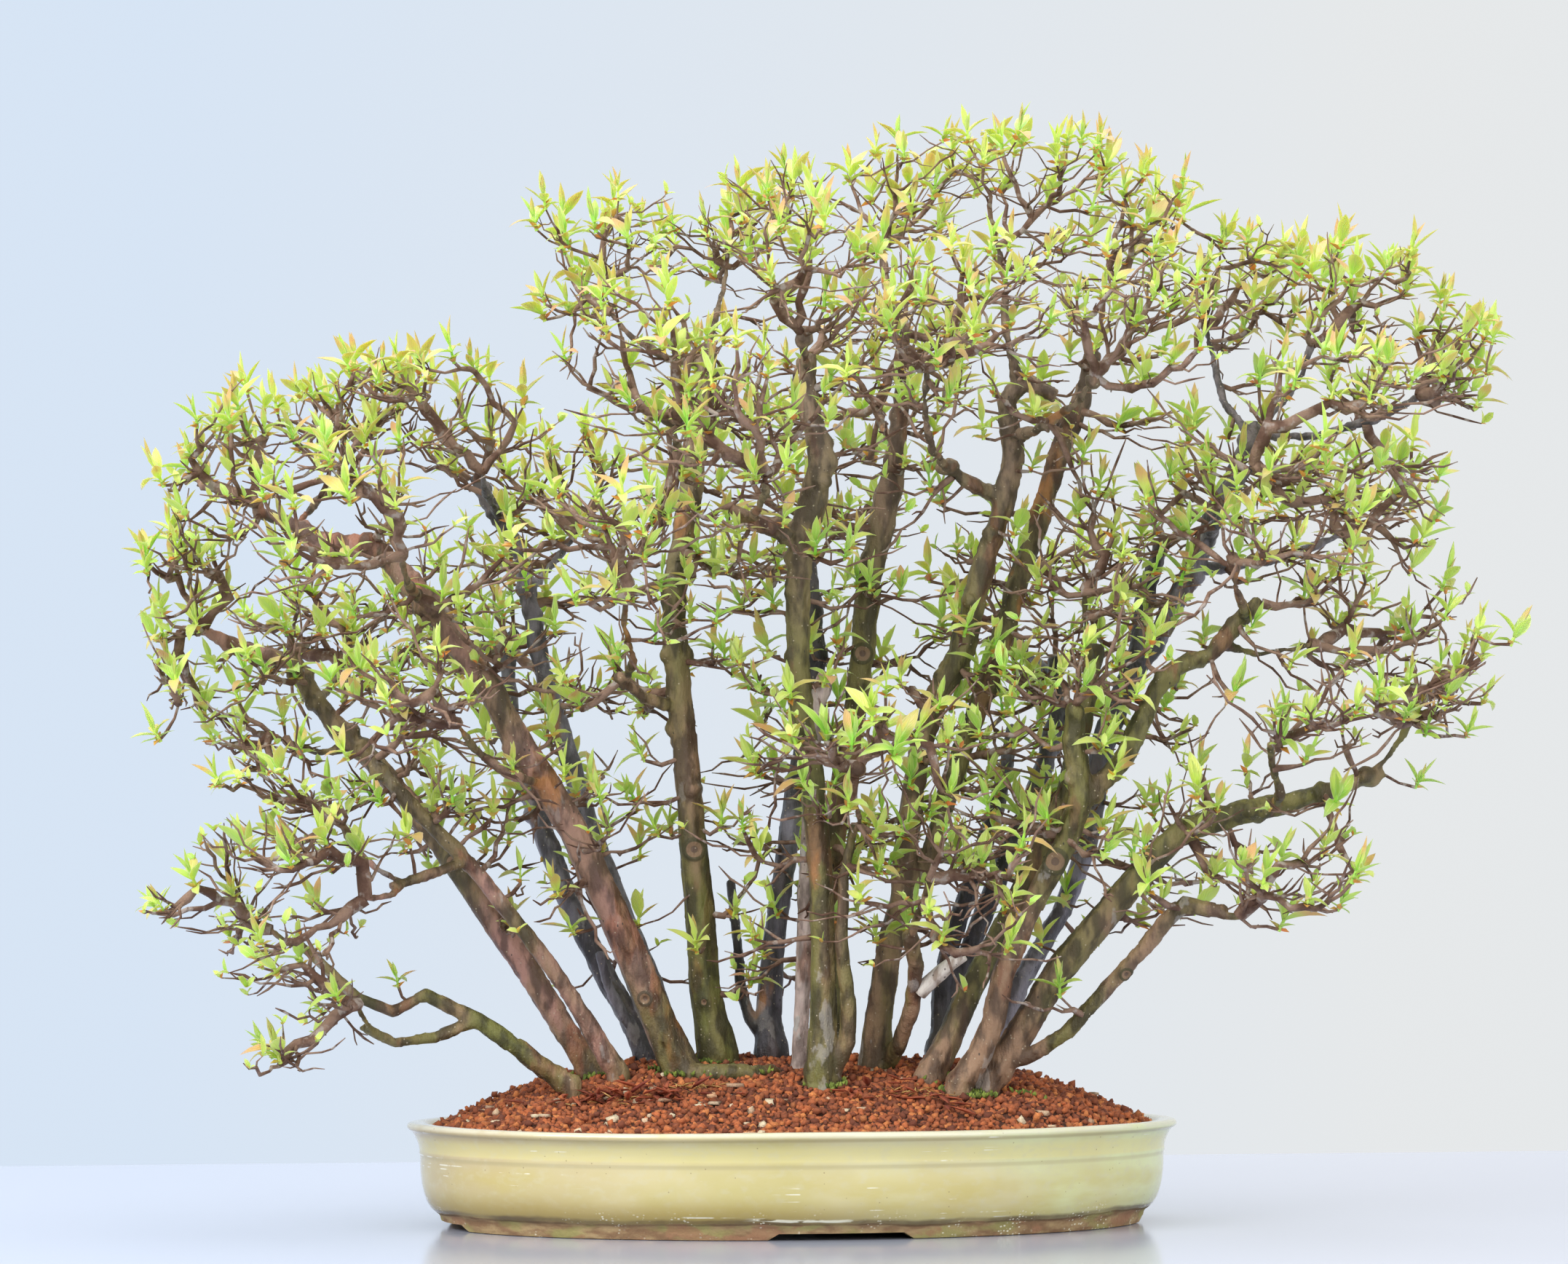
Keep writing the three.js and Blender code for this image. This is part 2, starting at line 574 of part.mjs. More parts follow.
// A blade that leans out from a twig's end at an angle, with its face turned in to the twig.
function leaningBlade(base, frame, tip, turn, spread, size) {
  const outward = frame.across.clone().multiplyScalar(Math.cos(turn));
  outward.addScaledVector(frame.beside, Math.sin(turn));
  const [upright, aside] = [Math.cos(spread), Math.sin(spread)];
  const direction = tip.clone().multiplyScalar(upright).addScaledVector(outward, aside);
  const face = tip.clone().multiplyScalar(aside).addScaledVector(outward, -upright);
  return { base, direction, face, length: size * LEAF_LENGTH, width: size * LEAF_WIDTH };
}

// The blades at the end of a twig; one that would touch another node is turned, or else left out.
function growBlades(points, radii, first, node) {
  const end = points.length - 1;
  const frame = ringFrames(points, first)[end];
  const corners = twigRing(points[end], frame, radii[end]);
  const bud = budPoint(points);
  const tip = bud.clone().sub(points[end]).normalize();
  return LEAF_SIZES.map((usualSize, i) => {
    const base = corners[i].clone().add(corners[(i + 1) % TWIG_SIDES]).add(bud).divideScalar(3);
    for (let attempt = 0; attempt < 12; attempt += 1) {
      const turn = ((i + 0.5) / TWIG_SIDES) * 2 * Math.PI + between(-0.3, 0.3);
      const spread = LEAF_SPREADS[i] + between(-0.2, 0.2);
      const blade = leaningBlade(base, frame, tip, turn, spread, usualSize * between(0.88, 1.1));
      const { ring, point } = bladeCorners(blade);
      const course = [base, ring[1], point];
      const reaches = [1, blade.width / 2, blade.width / 2];
      if (isClear(course, reaches, [node], SEAT_GAP)) {
        keep(course, reaches, node);
        return blade;
      }
    }
    return null;
  });
}

// A tip inside the spray's rounded space, spread evenly over its outer and upper side.
function sprayTip(middle, reach, outward, order, looseness) {
  const turn = order * 2.4 + between(-0.5, 0.5) * looseness;
  const lean = 0.35 + 1.05 * ((order + 0.5) / TIPS_PER_SPRAY) + between(-0.2, 0.2) * looseness;
  const side = new THREE.Vector3(0.2, 1, 0.1).cross(outward).normalize().applyAxisAngle(outward, turn);
  const direction = outward.clone().multiplyScalar(Math.cos(lean)).addScaledVector(side, Math.sin(lean));
  return middle.clone().add(direction.multiply(reach).multiplyScalar(between(0.7, 0.85)));
}

// A leafy spray: a twig seated on the end of its bough, forking to a few tips with leaves.
function growSpray(node, bough, middle, reach) {
  const outward = middle.clone().sub(CROWN_MIDDLE).normalize().add(new THREE.Vector3(0, 0, 0.7)).normalize();
  const end = bough.points[bough.points.length - 1];
  const ahead = end.clone().sub(bough.points[bough.points.length - 2]).normalize();
  const root = end.clone().addScaledVector(ahead, SEAT_GAP);
  const solids = [];
  let main = null;
  for (let order = 0; order < TIPS_PER_SPRAY; order += 1) {
    for (let attempt = 0; attempt < 60; attempt += 1) {
      const tip = sprayTip(middle, reach, outward, order, 1 + attempt * 0.2);
      const start = main ? main[order % 2].clone().lerp(main[1 + (order % 2)], 0.5) : root;
      const away = randomDirection().multiplyScalar(0.12 * start.distanceTo(tip));
      const crook = start.clone().lerp(tip, 0.5).add(away);
      const points = [start, crook, tip];
      const radii = [main ? 0.4 * TWIG_ROOT : TWIG_ROOT, (TWIG_ROOT + TWIG_TIP) / 2, TWIG_TIP];
      const nearby = main ? points : [root.clone().lerp(crook, 0.2), crook, tip];
      if (tip.distanceTo(start) > 14 && isClear(nearby, radii, [node])) {
        keep(points, radii, node);
        const first = main ? null : ahead;
        solids.push(leafyTwig(points, radii, first, growBlades(points, radii, first, node)));
        main = main ?? points;
        break;
      }
    }
  }
  return joined(solids);
}

function makeSurfaceRoot(stem) {
  const points = SURFACE_ROOT.map(([x, y, height]) => new THREE.Vector3(x, y, height));
  const radii = SURFACE_ROOT.map((station) => station[3]);
  stem.solids.push(limb(points, radii, FORK_SIDES));
  stem.holes.push(limb(points, radii.map((radius) => radius + FIT), FORK_SIDES));
  keep(points, radii, stem.node);
}

const stems = STEMS.map(makeStem);
makeSurfaceRoot(stems[SURFACE_ROOT_STEM]);

const sprays = SPRAYS.map(([stemIndex, x, height, depth, halfWidth, halfHeight], i) => {
  const middle = onSight(x, height, depth);
  const reach = new THREE.Vector3(halfWidth, 0.9 * halfWidth, halfHeight);
  const inward = CROWN_MIDDLE.clone().sub(middle).normalize().multiply(reach).multiplyScalar(0.45);
  const seat = middle.clone().add(inward).add(new THREE.Vector3(0, 0, -0.35 * halfHeight));
  const stem = stems[stemIndex];
  const bough = growBough(stem, seat);
  stem.solids.push(limb(bough.points, bough.radii, BOUGH_SIDES));
  keep(bough.points, bough.radii, stem.node);
  return { node: `spray_${String(i + 1).padStart(2, '0')}`, bough, middle, reach };
});

const tree = new THREE.Group();
tree.add(nodeOf('pot', makePot(), COLOURS.glaze, 0.25));
tree.add(nodeOf('soil', makeSoil(stems.flatMap((stem) => stem.holes)), COLOURS.soil, 0.95));
for (const stem of stems) {
  tree.add(nodeOf(stem.node, joined(stem.solids), COLOURS[stem.colour], 0.85));
}
for (const spray of sprays) {
  const solid = growSpray(spray.node, spray.bough, spray.middle, spray.reach);
  tree.add(nodeOf(spray.node, solid, COLOURS.leaf, 0.5));
}

// The origin lies on the ground under the middle of the whole.
const extent = new THREE.Box3().setFromObject(tree);
const centre = extent.getCenter(new THREE.Vector3());
tree.position.set(-centre.x, -centre.y, -extent.min.z);
tree.updateMatrixWorld(true);

export default tree;
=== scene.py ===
import math
import random

import bpy
import numpy as np
from mathutils import Matrix, Vector, noise
from mathutils.bvhtree import BVHTree
from mathutils.kdtree import KDTree


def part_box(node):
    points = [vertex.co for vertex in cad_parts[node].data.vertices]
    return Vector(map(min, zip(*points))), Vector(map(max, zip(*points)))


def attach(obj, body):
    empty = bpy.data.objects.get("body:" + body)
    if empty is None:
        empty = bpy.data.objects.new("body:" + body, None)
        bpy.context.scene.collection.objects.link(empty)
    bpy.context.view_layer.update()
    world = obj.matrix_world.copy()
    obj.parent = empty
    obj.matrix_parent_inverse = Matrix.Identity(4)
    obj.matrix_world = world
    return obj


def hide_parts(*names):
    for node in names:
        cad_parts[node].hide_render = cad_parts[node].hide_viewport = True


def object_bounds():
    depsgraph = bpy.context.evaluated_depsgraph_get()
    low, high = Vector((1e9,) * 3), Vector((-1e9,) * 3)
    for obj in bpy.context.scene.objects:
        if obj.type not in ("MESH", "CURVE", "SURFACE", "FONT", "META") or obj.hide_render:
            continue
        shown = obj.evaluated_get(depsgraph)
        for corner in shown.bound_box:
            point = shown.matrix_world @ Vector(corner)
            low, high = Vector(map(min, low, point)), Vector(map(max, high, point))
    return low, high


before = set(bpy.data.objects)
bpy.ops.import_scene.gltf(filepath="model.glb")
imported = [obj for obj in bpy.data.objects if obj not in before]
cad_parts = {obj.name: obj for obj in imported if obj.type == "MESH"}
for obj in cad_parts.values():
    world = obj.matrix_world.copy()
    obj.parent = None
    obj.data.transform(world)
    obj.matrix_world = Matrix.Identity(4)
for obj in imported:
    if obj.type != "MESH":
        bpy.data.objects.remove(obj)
cad_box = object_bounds()

# Camera. A viewer three metres in front of the pot, with the eyes a little over the soil, looks up
# slightly at the middle of the crown. The lens frames the whole tree.
pot_low, pot_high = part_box("pot")
pot_middle = (pot_low + pot_high) / 2
camera_data = bpy.data.cameras.new("camera")
camera_data.sensor_width = 36
camera_data.lens = 100.3
camera = bpy.data.objects.new("camera", camera_data)
bpy.context.scene.collection.objects.link(camera)
camera.location = (pot_middle.x, pot_middle.y - 3.0, 0.22)
aim = Vector((pot_middle.x - 0.0075, pot_middle.y, 0.4035))
camera.rotation_euler = (aim - camera.location).to_track_quat("-Z", "Y").to_euler()
bpy.context.scene.camera = camera
bpy.context.scene.view_settings.view_transform = "Standard"

# Light. Two large soft boxes stand in front, the left one stronger, and a third hangs overhead. The pale
# room gives the rest. A soft box's entry is its name, place, width in metres and power in watts.
SOFT_BOXES = [
    ("key", (-1.9, -2.0, 2.2), 1.8, 94),
    ("fill", (2.0, -2.4, 1.2), 2.0, 30),
    ("top", (0.0, 0.3, 2.7), 2.2, 46),
]
for name, place, width, power in SOFT_BOXES:
    light_data = bpy.data.lights.new(name, "AREA")
    light_data.size = width
    light_data.energy = power
    light = bpy.data.objects.new(name, light_data)
    light.location = place
    light.rotation_euler = (Vector((0, 0, 0.35)) - light.location).to_track_quat("-Z", "Y").to_euler()
    bpy.context.scene.collection.objects.link(light)
room = bpy.data.worlds.new("room")
room.use_nodes = True
room.node_tree.nodes["Background"].inputs["Color"].default_value = (0.95, 0.97, 1.0, 1)
room.node_tree.nodes["Background"].inputs["Strength"].default_value = 0.88
bpy.context.scene.world = room

# Table and wall. A white lacquered table top, whose far edge shows as a faint line behind the pot, and
# a pale wall far behind it, bluer on the left.
def ready_made(add, **options):
    """A new piece in one of the ready-made shapes."""
    bpy.ops.object.select_all(action="DESELECT")
    add(**options)
    return bpy.context.object


table = ready_made(bpy.ops.mesh.primitive_plane_add, size=1)
table.name = "table"
TABLE_CORNERS = [(-4.0, -6.0), (4.0, -6.0), (-4.0, 0.06), (4.0, 1.42)]
for corner, (x, y) in zip(table.data.vertices, TABLE_CORNERS):
    corner.co = (x, y, 0)
lacquer = bpy.data.materials.new("lacquer")
lacquer.use_nodes = True
coat = lacquer.node_tree.nodes["Principled BSDF"]
coat.inputs["Base Color"].default_value = (0.49, 0.525, 0.64, 1)
coat.inputs["Roughness"].default_value = 0.12
coat.inputs["IOR"].default_value = 1.33
table.data.materials.append(lacquer)
wall = ready_made(bpy.ops.mesh.primitive_plane_add, size=40)
wall.name = "wall"
wall.data.transform(Matrix.Translation((0, 9, 0)) @ Matrix.Rotation(math.radians(90), 4, "X"))
paint = bpy.data.materials.new("wall_paint")
paint.use_nodes = True
paint_tree = paint.node_tree
paint_tree.nodes.remove(paint_tree.nodes["Principled BSDF"])
glow = paint_tree.nodes.new("ShaderNodeEmission")
across = paint_tree.nodes.new("ShaderNodeSeparateXYZ")
paint_tree.links.new(paint_tree.nodes.new("ShaderNodeTexCoord").outputs["Object"], across.inputs[0])
shade = paint_tree.nodes.new("ShaderNodeMapRange")
shade.inputs["From Min"].default_value = -1.8
shade.inputs["From Max"].default_value = 1.6
paint_tree.links.new(across.outputs["X"], shade.inputs["Value"])
ramp = paint_tree.nodes.new("ShaderNodeValToRGB")
ramp.color_ramp.elements[0].color = (0.68, 0.78, 0.91, 1)
ramp.color_ramp.elements[1].color = (0.79, 0.81, 0.82, 1)
paint_tree.links.new(shade.outputs[0], ramp.inputs[0])
paint_tree.links.new(ramp.outputs[0], glow.inputs["Color"])
paint_tree.links.new(glow.outputs[0], paint_tree.nodes["Material Output"].inputs["Surface"])
wall.data.materials.append(paint)

# Pot. Hand-made oval stoneware with a rolled lip, a soft neck, a full body and a low foot cut through on
# each side. Glossy pale yellow-green glaze stops short of the bare brown foot, where water has left lime.
POT_TURN = math.radians(11)
POT_OVAL = 0.080
POT_SIDES = 192
# The pot's half length and height, in millimetres, from the underside up the outside and down the inside.
POT_PROFILE = [
    (226, 5), (226.6, 0.8), (228, 0), (238.4, 0), (240.2, 0.5), (240.9, 2), (241.6, 4.5), (242.2, 7),
    (243.2, 8.6), (245.6, 10.2), (248.6, 13.0), (251.3, 17.2), (253.3, 22.6), (254.8, 29), (255.6, 36),
    (255.9, 42), (255.9, 46.2), (256.1, 48), (256.5, 49.3), (256.7, 50.4), (256.6, 51.5), (256.7, 53),
    (257.2, 55.5), (258.2, 58.4), (259.6, 61.4), (261.2, 64), (262.5, 65.3), (263.7, 65.9), (264.6, 66.8),
    (265, 68.2), (264.6, 69.6), (263.4, 70.6), (261.4, 71), (258.4, 71), (254.6, 70.8), (251.8, 69.8),
    (250, 67.6), (248.6, 64), (247.4, 58), (245, 40), (241, 24), (235, 16), (227, 13),
]
pot = ready_made(bpy.ops.mesh.primitive_circle_add, vertices=POT_SIDES, radius=1, fill_type="NGON")
pot.name = "pot_shell"
long_half, height = (size / 1000 for size in POT_PROFILE[0])
pot.data.transform(Matrix.Diagonal((long_half, long_half - POT_OVAL, 1, 1)))
pot.data.transform(Matrix.Translation((0, 0, height)))
bpy.ops.object.mode_set(mode="EDIT")
for next_half, next_height in ((a / 1000, b / 1000) for a, b in POT_PROFILE[1:]):
    bpy.ops.mesh.extrude_region_move(TRANSFORM_OT_translate={"value": (0, 0, next_height - height)})
    widening = (next_half / long_half, (next_half - POT_OVAL) / (long_half - POT_OVAL), 1)
    bpy.ops.transform.resize(value=widening, center_override=(0, 0, next_height))
    long_half, height = next_half, next_height
bpy.ops.mesh.select_all(action="SELECT")
bpy.ops.mesh.normals_make_consistent(inside=False)
bpy.ops.object.mode_set(mode="OBJECT")


def picked(piece):
    """Makes a piece the only selected one and the active one."""
    bpy.ops.object.select_all(action="DESELECT")
    piece.select_set(True)
    bpy.context.view_layer.objects.active = piece


def cut_away(piece, cutter):
    """Cuts the cutter's shape out of the piece and removes the cutter."""
    picked(piece)
    cut = piece.modifiers.new("cut", "BOOLEAN")
    cut.object = cutter
    cut.solver = "EXACT"
    bpy.ops.object.modifier_apply(modifier=cut.name)
    bpy.data.objects.remove(cutter)


GAP_LENGTH = 0.092
GAP_HEIGHT = 0.0045
for quarter in (0, 1):
    gap = ready_made(bpy.ops.mesh.primitive_cube_add, size=2)
    for corner in gap.data.vertices:
        half = GAP_LENGTH / 2 - (GAP_HEIGHT if corner.co.z > 0 else -GAP_HEIGHT)
        corner.co = (corner.co.x * half, corner.co.y * 0.4, GAP_HEIGHT if corner.co.z > 0 else -0.001)
    gap.data.transform(Matrix.Rotation(quarter * math.pi / 2, 4, "Z"))
    cut_away(pot, gap)
DRAIN_HOLES = [(-0.105, 0, 0.01), (0.105, 0, 0.01)]
for place in DRAIN_HOLES:
    drill = ready_made(bpy.ops.mesh.primitive_cylinder_add, vertices=32, radius=0.015, depth=0.04)
    drill.data.transform(Matrix.Translation(place))
    cut_away(pot, drill)
pot.data.transform(Matrix.Translation((pot_middle.x, pot_middle.y, 0)) @ Matrix.Rotation(POT_TURN, 4, "Z"))
for corner in pot.data.vertices:
    firmness = min(1.0, max(0.0, (corner.co.z - 0.02) / 0.05))
    corner.co.z -= firmness * 0.0009 * (1 + noise.noise(corner.co * 7))
picked(pot)
bpy.ops.object.shade_smooth_by_angle(angle=math.radians(38))


def start_material(name, roughness):
    """A new material with its tree, its shader and the place on the piece."""
    material = bpy.data.materials.new(name)
    material.use_nodes = True
    tree = material.node_tree
    shader = tree.nodes["Principled BSDF"]
    shader.inputs["Roughness"].default_value = roughness
    return material, tree, shader, tree.nodes.new("ShaderNodeTexCoord").outputs["Object"]


def joined_to(tree, value, socket):
    """Links a node's output to a socket, or sets the socket to a number or a colour."""
    if isinstance(value, bpy.types.NodeSocket):
        tree.links.new(value, socket)
    else:
        socket.default_value = (*value, 1) if isinstance(value, tuple) else value


def rising(tree, value, low, high):
    """A share that rises softly from 0 to 1 as the value goes from low to high."""
    node = tree.nodes.new("ShaderNodeMapRange")
    node.interpolation_type = "SMOOTHSTEP"
    tree.links.new(value, node.inputs["Value"])
    node.inputs["From Min"].default_value = low
    node.inputs["From Max"].default_value = high
    return node.outputs[0]


def blended(tree, share, under, over, way="MIX"):
    """The over colour laid on the under colour by that share."""
    node = tree.nodes.new("ShaderNodeMix")
    node.data_type = "RGBA"
    node.blend_type = way
    joined_to(tree, share, node.inputs[0])
    joined_to(tree, under, node.inputs[6])
    joined_to(tree, over, node.inputs[7])
    return node.outputs[2]


def times(tree, first, second, way="MULTIPLY"):
    """Two shares multiplied, or combined in another way."""
    node = tree.nodes.new("ShaderNodeMath")
    node.operation = way
    joined_to(tree, first, node.inputs[0])
    joined_to(tree, second, node.inputs[1])
    return node.outputs[0]


def coordinates(tree, place):
    """How far right, how far back and how high the place is, in metres."""
    split = tree.nodes.new("ShaderNodeSeparateXYZ")
    tree.links.new(place, split.inputs[0])
    return split.outputs


def pattern(tree, kind, place, scale, stretch, shift=0.0):
    """A pattern of one of the ready-made kinds, stretched along the axes with a small factor."""
    mapping = tree.nodes.new("ShaderNodeMapping")
    mapping.inputs["Scale"].default_value = stretch
    mapping.inputs["Location"].default_value = (shift, shift, shift)
    tree.links.new(place, mapping.inputs["Vector"])
    node = tree.nodes.new(kind)
    node.inputs["Scale"].default_value = scale
    tree.links.new(mapping.outputs[0], node.inputs["Vector"])
    return node


def clouded(tree, place, scale, low=0.35, high=0.65, stretch=(1, 1, 1), detail=4, shift=0.0):
    """A cloudy share between 0 and 1."""
    cloud = pattern(tree, "ShaderNodeTexNoise", place, scale, stretch, shift)
    cloud.inputs["Detail"].default_value = detail
    return rising(tree, cloud.outputs[0], low, high)


def specked(tree, place, scale, size, share, stretch=(1, 1, 1)):
    """Small separate specks, in that share of the cells of a pattern."""
    cells = pattern(tree, "ShaderNodeTexVoronoi", place, scale, stretch)
    red = tree.nodes.new("ShaderNodeSeparateColor")
    tree.links.new(cells.outputs["Color"], red.inputs[0])
    chosen = rising(tree, red.outputs[0], share + 0.01, share)
    return times(tree, chosen, rising(tree, cells.outputs["Distance"], size, 0.6 * size))


def raised(tree, shader, height, depth, strength=1.0):
    """Adds low relief to the surface, over any relief that it has."""
    relief = tree.nodes.new("ShaderNodeBump")
    relief.inputs["Distance"].default_value = depth
    relief.inputs["Strength"].default_value = strength
    tree.links.new(height, relief.inputs["Height"])
    if shader.inputs["Normal"].is_linked:
        tree.links.new(shader.inputs["Normal"].links[0].from_socket, relief.inputs["Normal"])
    tree.links.new(relief.outputs[0], shader.inputs["Normal"])


def laid(tree, tint, share, amount, colour):
    """The tint with a colour laid over it by a share, and by no more than that amount."""
    return blended(tree, times(tree, share, amount), tint, colour)


def between(tree, value, start, full, fading, end):
    """A share of 1 while the value is from full to fading, down to 0 at the start and at the end."""
    return times(tree, rising(tree, value, start, full), rising(tree, value, end, fading))


glaze, tree, shader, place = start_material("pot_glaze", 0.16)
to_right, to_back, up = coordinates(tree, place)
wavy = times(tree, up, times(tree, clouded(tree, place, 18, 0, 1), 0.006), "ADD")
clouds = clouded(tree, place, 7, 0.35, 0.65, (1, 1, 2))
tint = blended(tree, clouds, (0.55, 0.475, 0.180), (0.635, 0.555, 0.30))
green = times(tree, rising(tree, to_right, -0.02, 0.20), clouded(tree, place, 9, 0.30, 0.62, shift=3.0))
tint = laid(tree, tint, green, 0.8, (0.72, 0.79, 0.43))
ruddy = times(tree, rising(tree, to_right, -0.06, -0.22), clouded(tree, place, 8, 0.3, 0.6, shift=8.0))
tint = laid(tree, tint, ruddy, 0.7, (0.52, 0.405, 0.235))
streaks = clouded(tree, place, 9, 0.44, 0.66, (1, 1, 3.5), shift=5.0)
tint = laid(tree, tint, times(tree, streaks, rising(tree, up, 0.056, 0.026)), 0.7, (0.55, 0.445, 0.115))
# A yellower band of glaze on the neck, also painted lighter: painted light on the neck, which faces a little
# down.
neck_tint_and_painted_light = between(tree, up, 0.0500, 0.0520, 0.0580, 0.0640)
tint = laid(tree, tint, neck_tint_and_painted_light, 0.6, (0.72, 0.64, 0.27))
fine_clouds = clouded(tree, place, 130, 0.45, 0.75, (1, 1, 1.6))
tint = laid(tree, tint, fine_clouds, 0.35, (0.60, 0.56, 0.37))
low_left = times(tree, times(tree, rising(tree, to_right, 0.12, -0.04), 0.60), 0.14, "ADD")
tint = blended(tree, times(tree, rising(tree, wavy, 0.034, 0.018), low_left), tint, (0.36, 0.255, 0.062))
lip = times(tree, rising(tree, up, 0.0660, 0.0690), clouded(tree, place, 40, 0.2, 0.5))
tint = laid(tree, tint, lip, 0.7, (0.68, 0.66, 0.54))
# Painted shade: a darker brown band on the underside of the rolled lip, where shade falls.
painted_shade_under_lip = between(tree, up, 0.0635, 0.0650, 0.0660, 0.0672)
tint = laid(tree, tint, painted_shade_under_lip, 0.5, (0.42, 0.33, 0.17))
# Painted shade: a darker band just under the ridge below the neck.
painted_shade_under_ridge = between(tree, up, 0.0455, 0.0475, 0.0485, 0.0495)
tint = laid(tree, tint, painted_shade_under_ridge, 0.35, (0.45, 0.38, 0.19))
scratches = specked(tree, place, 110, 0.42, 0.16, (0.10, 0.10, 6))
scratches = times(tree, scratches, clouded(tree, place, 50, 0.52, 0.60))
tint = laid(tree, tint, scratches, 0.75, (0.86, 0.84, 0.70))
tint = laid(tree, tint, specked(tree, place, 420, 0.26, 0.02), 0.6, (0.28, 0.20, 0.09))
bare = rising(tree, wavy, 0.0150, 0.0138)
clay = clouded(tree, place, 60, 0.35, 0.65, (1, 1, 3))
clay = blended(tree, clay, (0.27, 0.155, 0.075), (0.46, 0.32, 0.155))
clay = laid(tree, clay, clouded(tree, place, 26, 0.50, 0.62, (1, 1, 2), shift=2.0), 0.7, (0.36, 0.34, 0.11))
clay = laid(tree, clay, clouded(tree, place, 34, 0.54, 0.60, (1, 1, 2), shift=9.0), 0.7, (0.38, 0.19, 0.10))
tint = blended(tree, bare, tint, clay)
glaze_edge = between(tree, wavy, 0.0122, 0.0136, 0.0158, 0.0182)
glaze_edge = times(tree, glaze_edge, clouded(tree, place, 22, 0.2, 0.6, shift=6.0))
tint = laid(tree, tint, glaze_edge, 0.85, (0.12, 0.075, 0.030))
lime = times(tree, specked(tree, place, 700, 0.5, 0.30, (0.7, 0.7, 1.0)), rising(tree, up, 0.021, 0.014))
lime = times(tree, lime, clouded(tree, place, 30, 0.50, 0.60))
tint = laid(tree, tint, lime, 0.95, (0.84, 0.80, 0.62))
crust = times(tree, between(tree, to_right, -0.052, -0.030, 0.012, 0.030), rising(tree, to_back, 0.0, -0.1))
crust = times(tree, crust, between(tree, wavy, 0.0150, 0.0158, 0.0170, 0.0178))
crust = times(tree, crust, clouded(tree, place, 120, 0.40, 0.50, (0.5, 0.5, 2), shift=4.0))
tint = blended(tree, crust, tint, (0.88, 0.84, 0.64))
tree.links.new(tint, shader.inputs["Base Color"])
tree.links.new(rising(tree, times(tree, bare, 0.9), -0.25, 1.3), shader.inputs["Roughness"])
raised(tree, shader, clouded(tree, place, 30, 0, 1), 0.0006, 0.35)
raised(tree, shader, times(tree, clouded(tree, place, 300, 0, 1), bare), 0.0008, 0.8)
pot.data.materials.append(glaze)
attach(pot, "root")
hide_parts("pot")

# Stems. Each trunk, with its forks and boughs, is one living piece of wood that goes down into the soil.
# Smooth bark in front is olive and mauve-brown. The trunks at the back get a charcoal copy of the bark as
# painted shade, with pale blue-grey patches as painted highlights. Years of pruning have left round scars
# low down and gnarled knobs in the crown, where the bark is rough.
TREE_SEED = 41
BEND_SEED = 3
chance = random.Random(TREE_SEED)
noise.seed_set(BEND_SEED)
STEMS = [f"stem_{number:02d}" for number in range(1, 18)]
DARK_STEMS = ["stem_04", "stem_06", "stem_08", "stem_13", "stem_16"]
PALE_STEMS = ["stem_09"]
SOIL_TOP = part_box("soil")[1].z
FREE_HEIGHT = SOIL_TOP + 0.02
KNOBS_FROM = 0.27
KNOB_SHARE = 0.09
KNOB_LARGEST = 0.0065
FLARE_WIDTH = 0.0028
FLARE_HEIGHT = 0.014
VOXEL = 0.0014
FACES_KEPT = 0.22
# Each scar's stem, how far right and how high it is seen, and its radius.
SCARS = [
    ("stem_07", -0.085, 0.254, 0.0075),
    ("stem_05", -0.118, 0.153, 0.0050),
    ("stem_07", -0.078, 0.150, 0.0032),
    ("stem_10", 0.006, 0.330, 0.0060),
    ("stem_11", 0.030, 0.390, 0.0070),
    ("stem_15", 0.158, 0.245, 0.0085),
    ("stem_12", 0.075, 0.300, 0.0060),
    ("stem_02", -0.250, 0.245, 0.0060),
    ("stem_17", 0.205, 0.170, 0.0045),
]


def crooked(point):
    """Where a point of the wood goes when the tree's straight stretches are made a little crooked."""
    freedom = min(1.0, max(0.15, (point.z - FREE_HEIGHT) / 0.3)) if point.z > FREE_HEIGHT else 0
    wide = noise.noise_vector(point * 13) * 0.0045
    tight = noise.noise_vector(point * 70 + Vector((5, 5, 5))) * 0.0007
    return point + freedom * (wide + tight)


def bark_relief(point):
    """How far the bark stands out at a point: lumps, long ridges, and the steps of flakes."""
    along = Vector((point.x, point.y, 0.35 * point.z))
    age = min(1.0, max(0.0, (point.z - 0.22) / 0.2))
    lumps = (0.0004 + 0.0016 * age) * noise.noise(point * 55)
    ridges = 0.0005 * noise.noise(along * 230) + 0.0008 * age * noise.noise(point * 210)
    flakes = 0.0004 * noise.cell(along * 110 + noise.noise_vector(point * 90) * 0.8)
    return lumps + ridges + flakes


def solid_of(mesh):
    """A mesh as a solid that rays can be cast at."""
    corners = [corner.co.copy() for corner in mesh.vertices]
    return BVHTree.FromPolygons(corners, [tuple(face.vertices) for face in mesh.polygons])


def front_of(name, x, z):
    """The point of a stem that a viewer in front sees at that place."""
    solid = solid_of(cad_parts[name].data)
    hit = solid.ray_cast(Vector((x, -1, z)), Vector((0, 1, 0)))[0]
    return hit or solid.find_nearest(Vector((x, -1, z)))[0]


scars = [(name, crooked(front_of(name, x, z)), radius) for name, x, z, radius in SCARS]


def scar_relief(name, point):
    """A raised round rim and a sunken middle where a bough was cut off."""
    relief = 0
    for scarred, middle, radius in scars:
        away = (point - middle).length / radius
        if scarred == name and away < 1.6:
            relief += 0.0016 * math.exp(-((away - 0.85) / 0.28) ** 2) - 0.0008 * max(0.0, 1 - away / 0.6)
    return relief


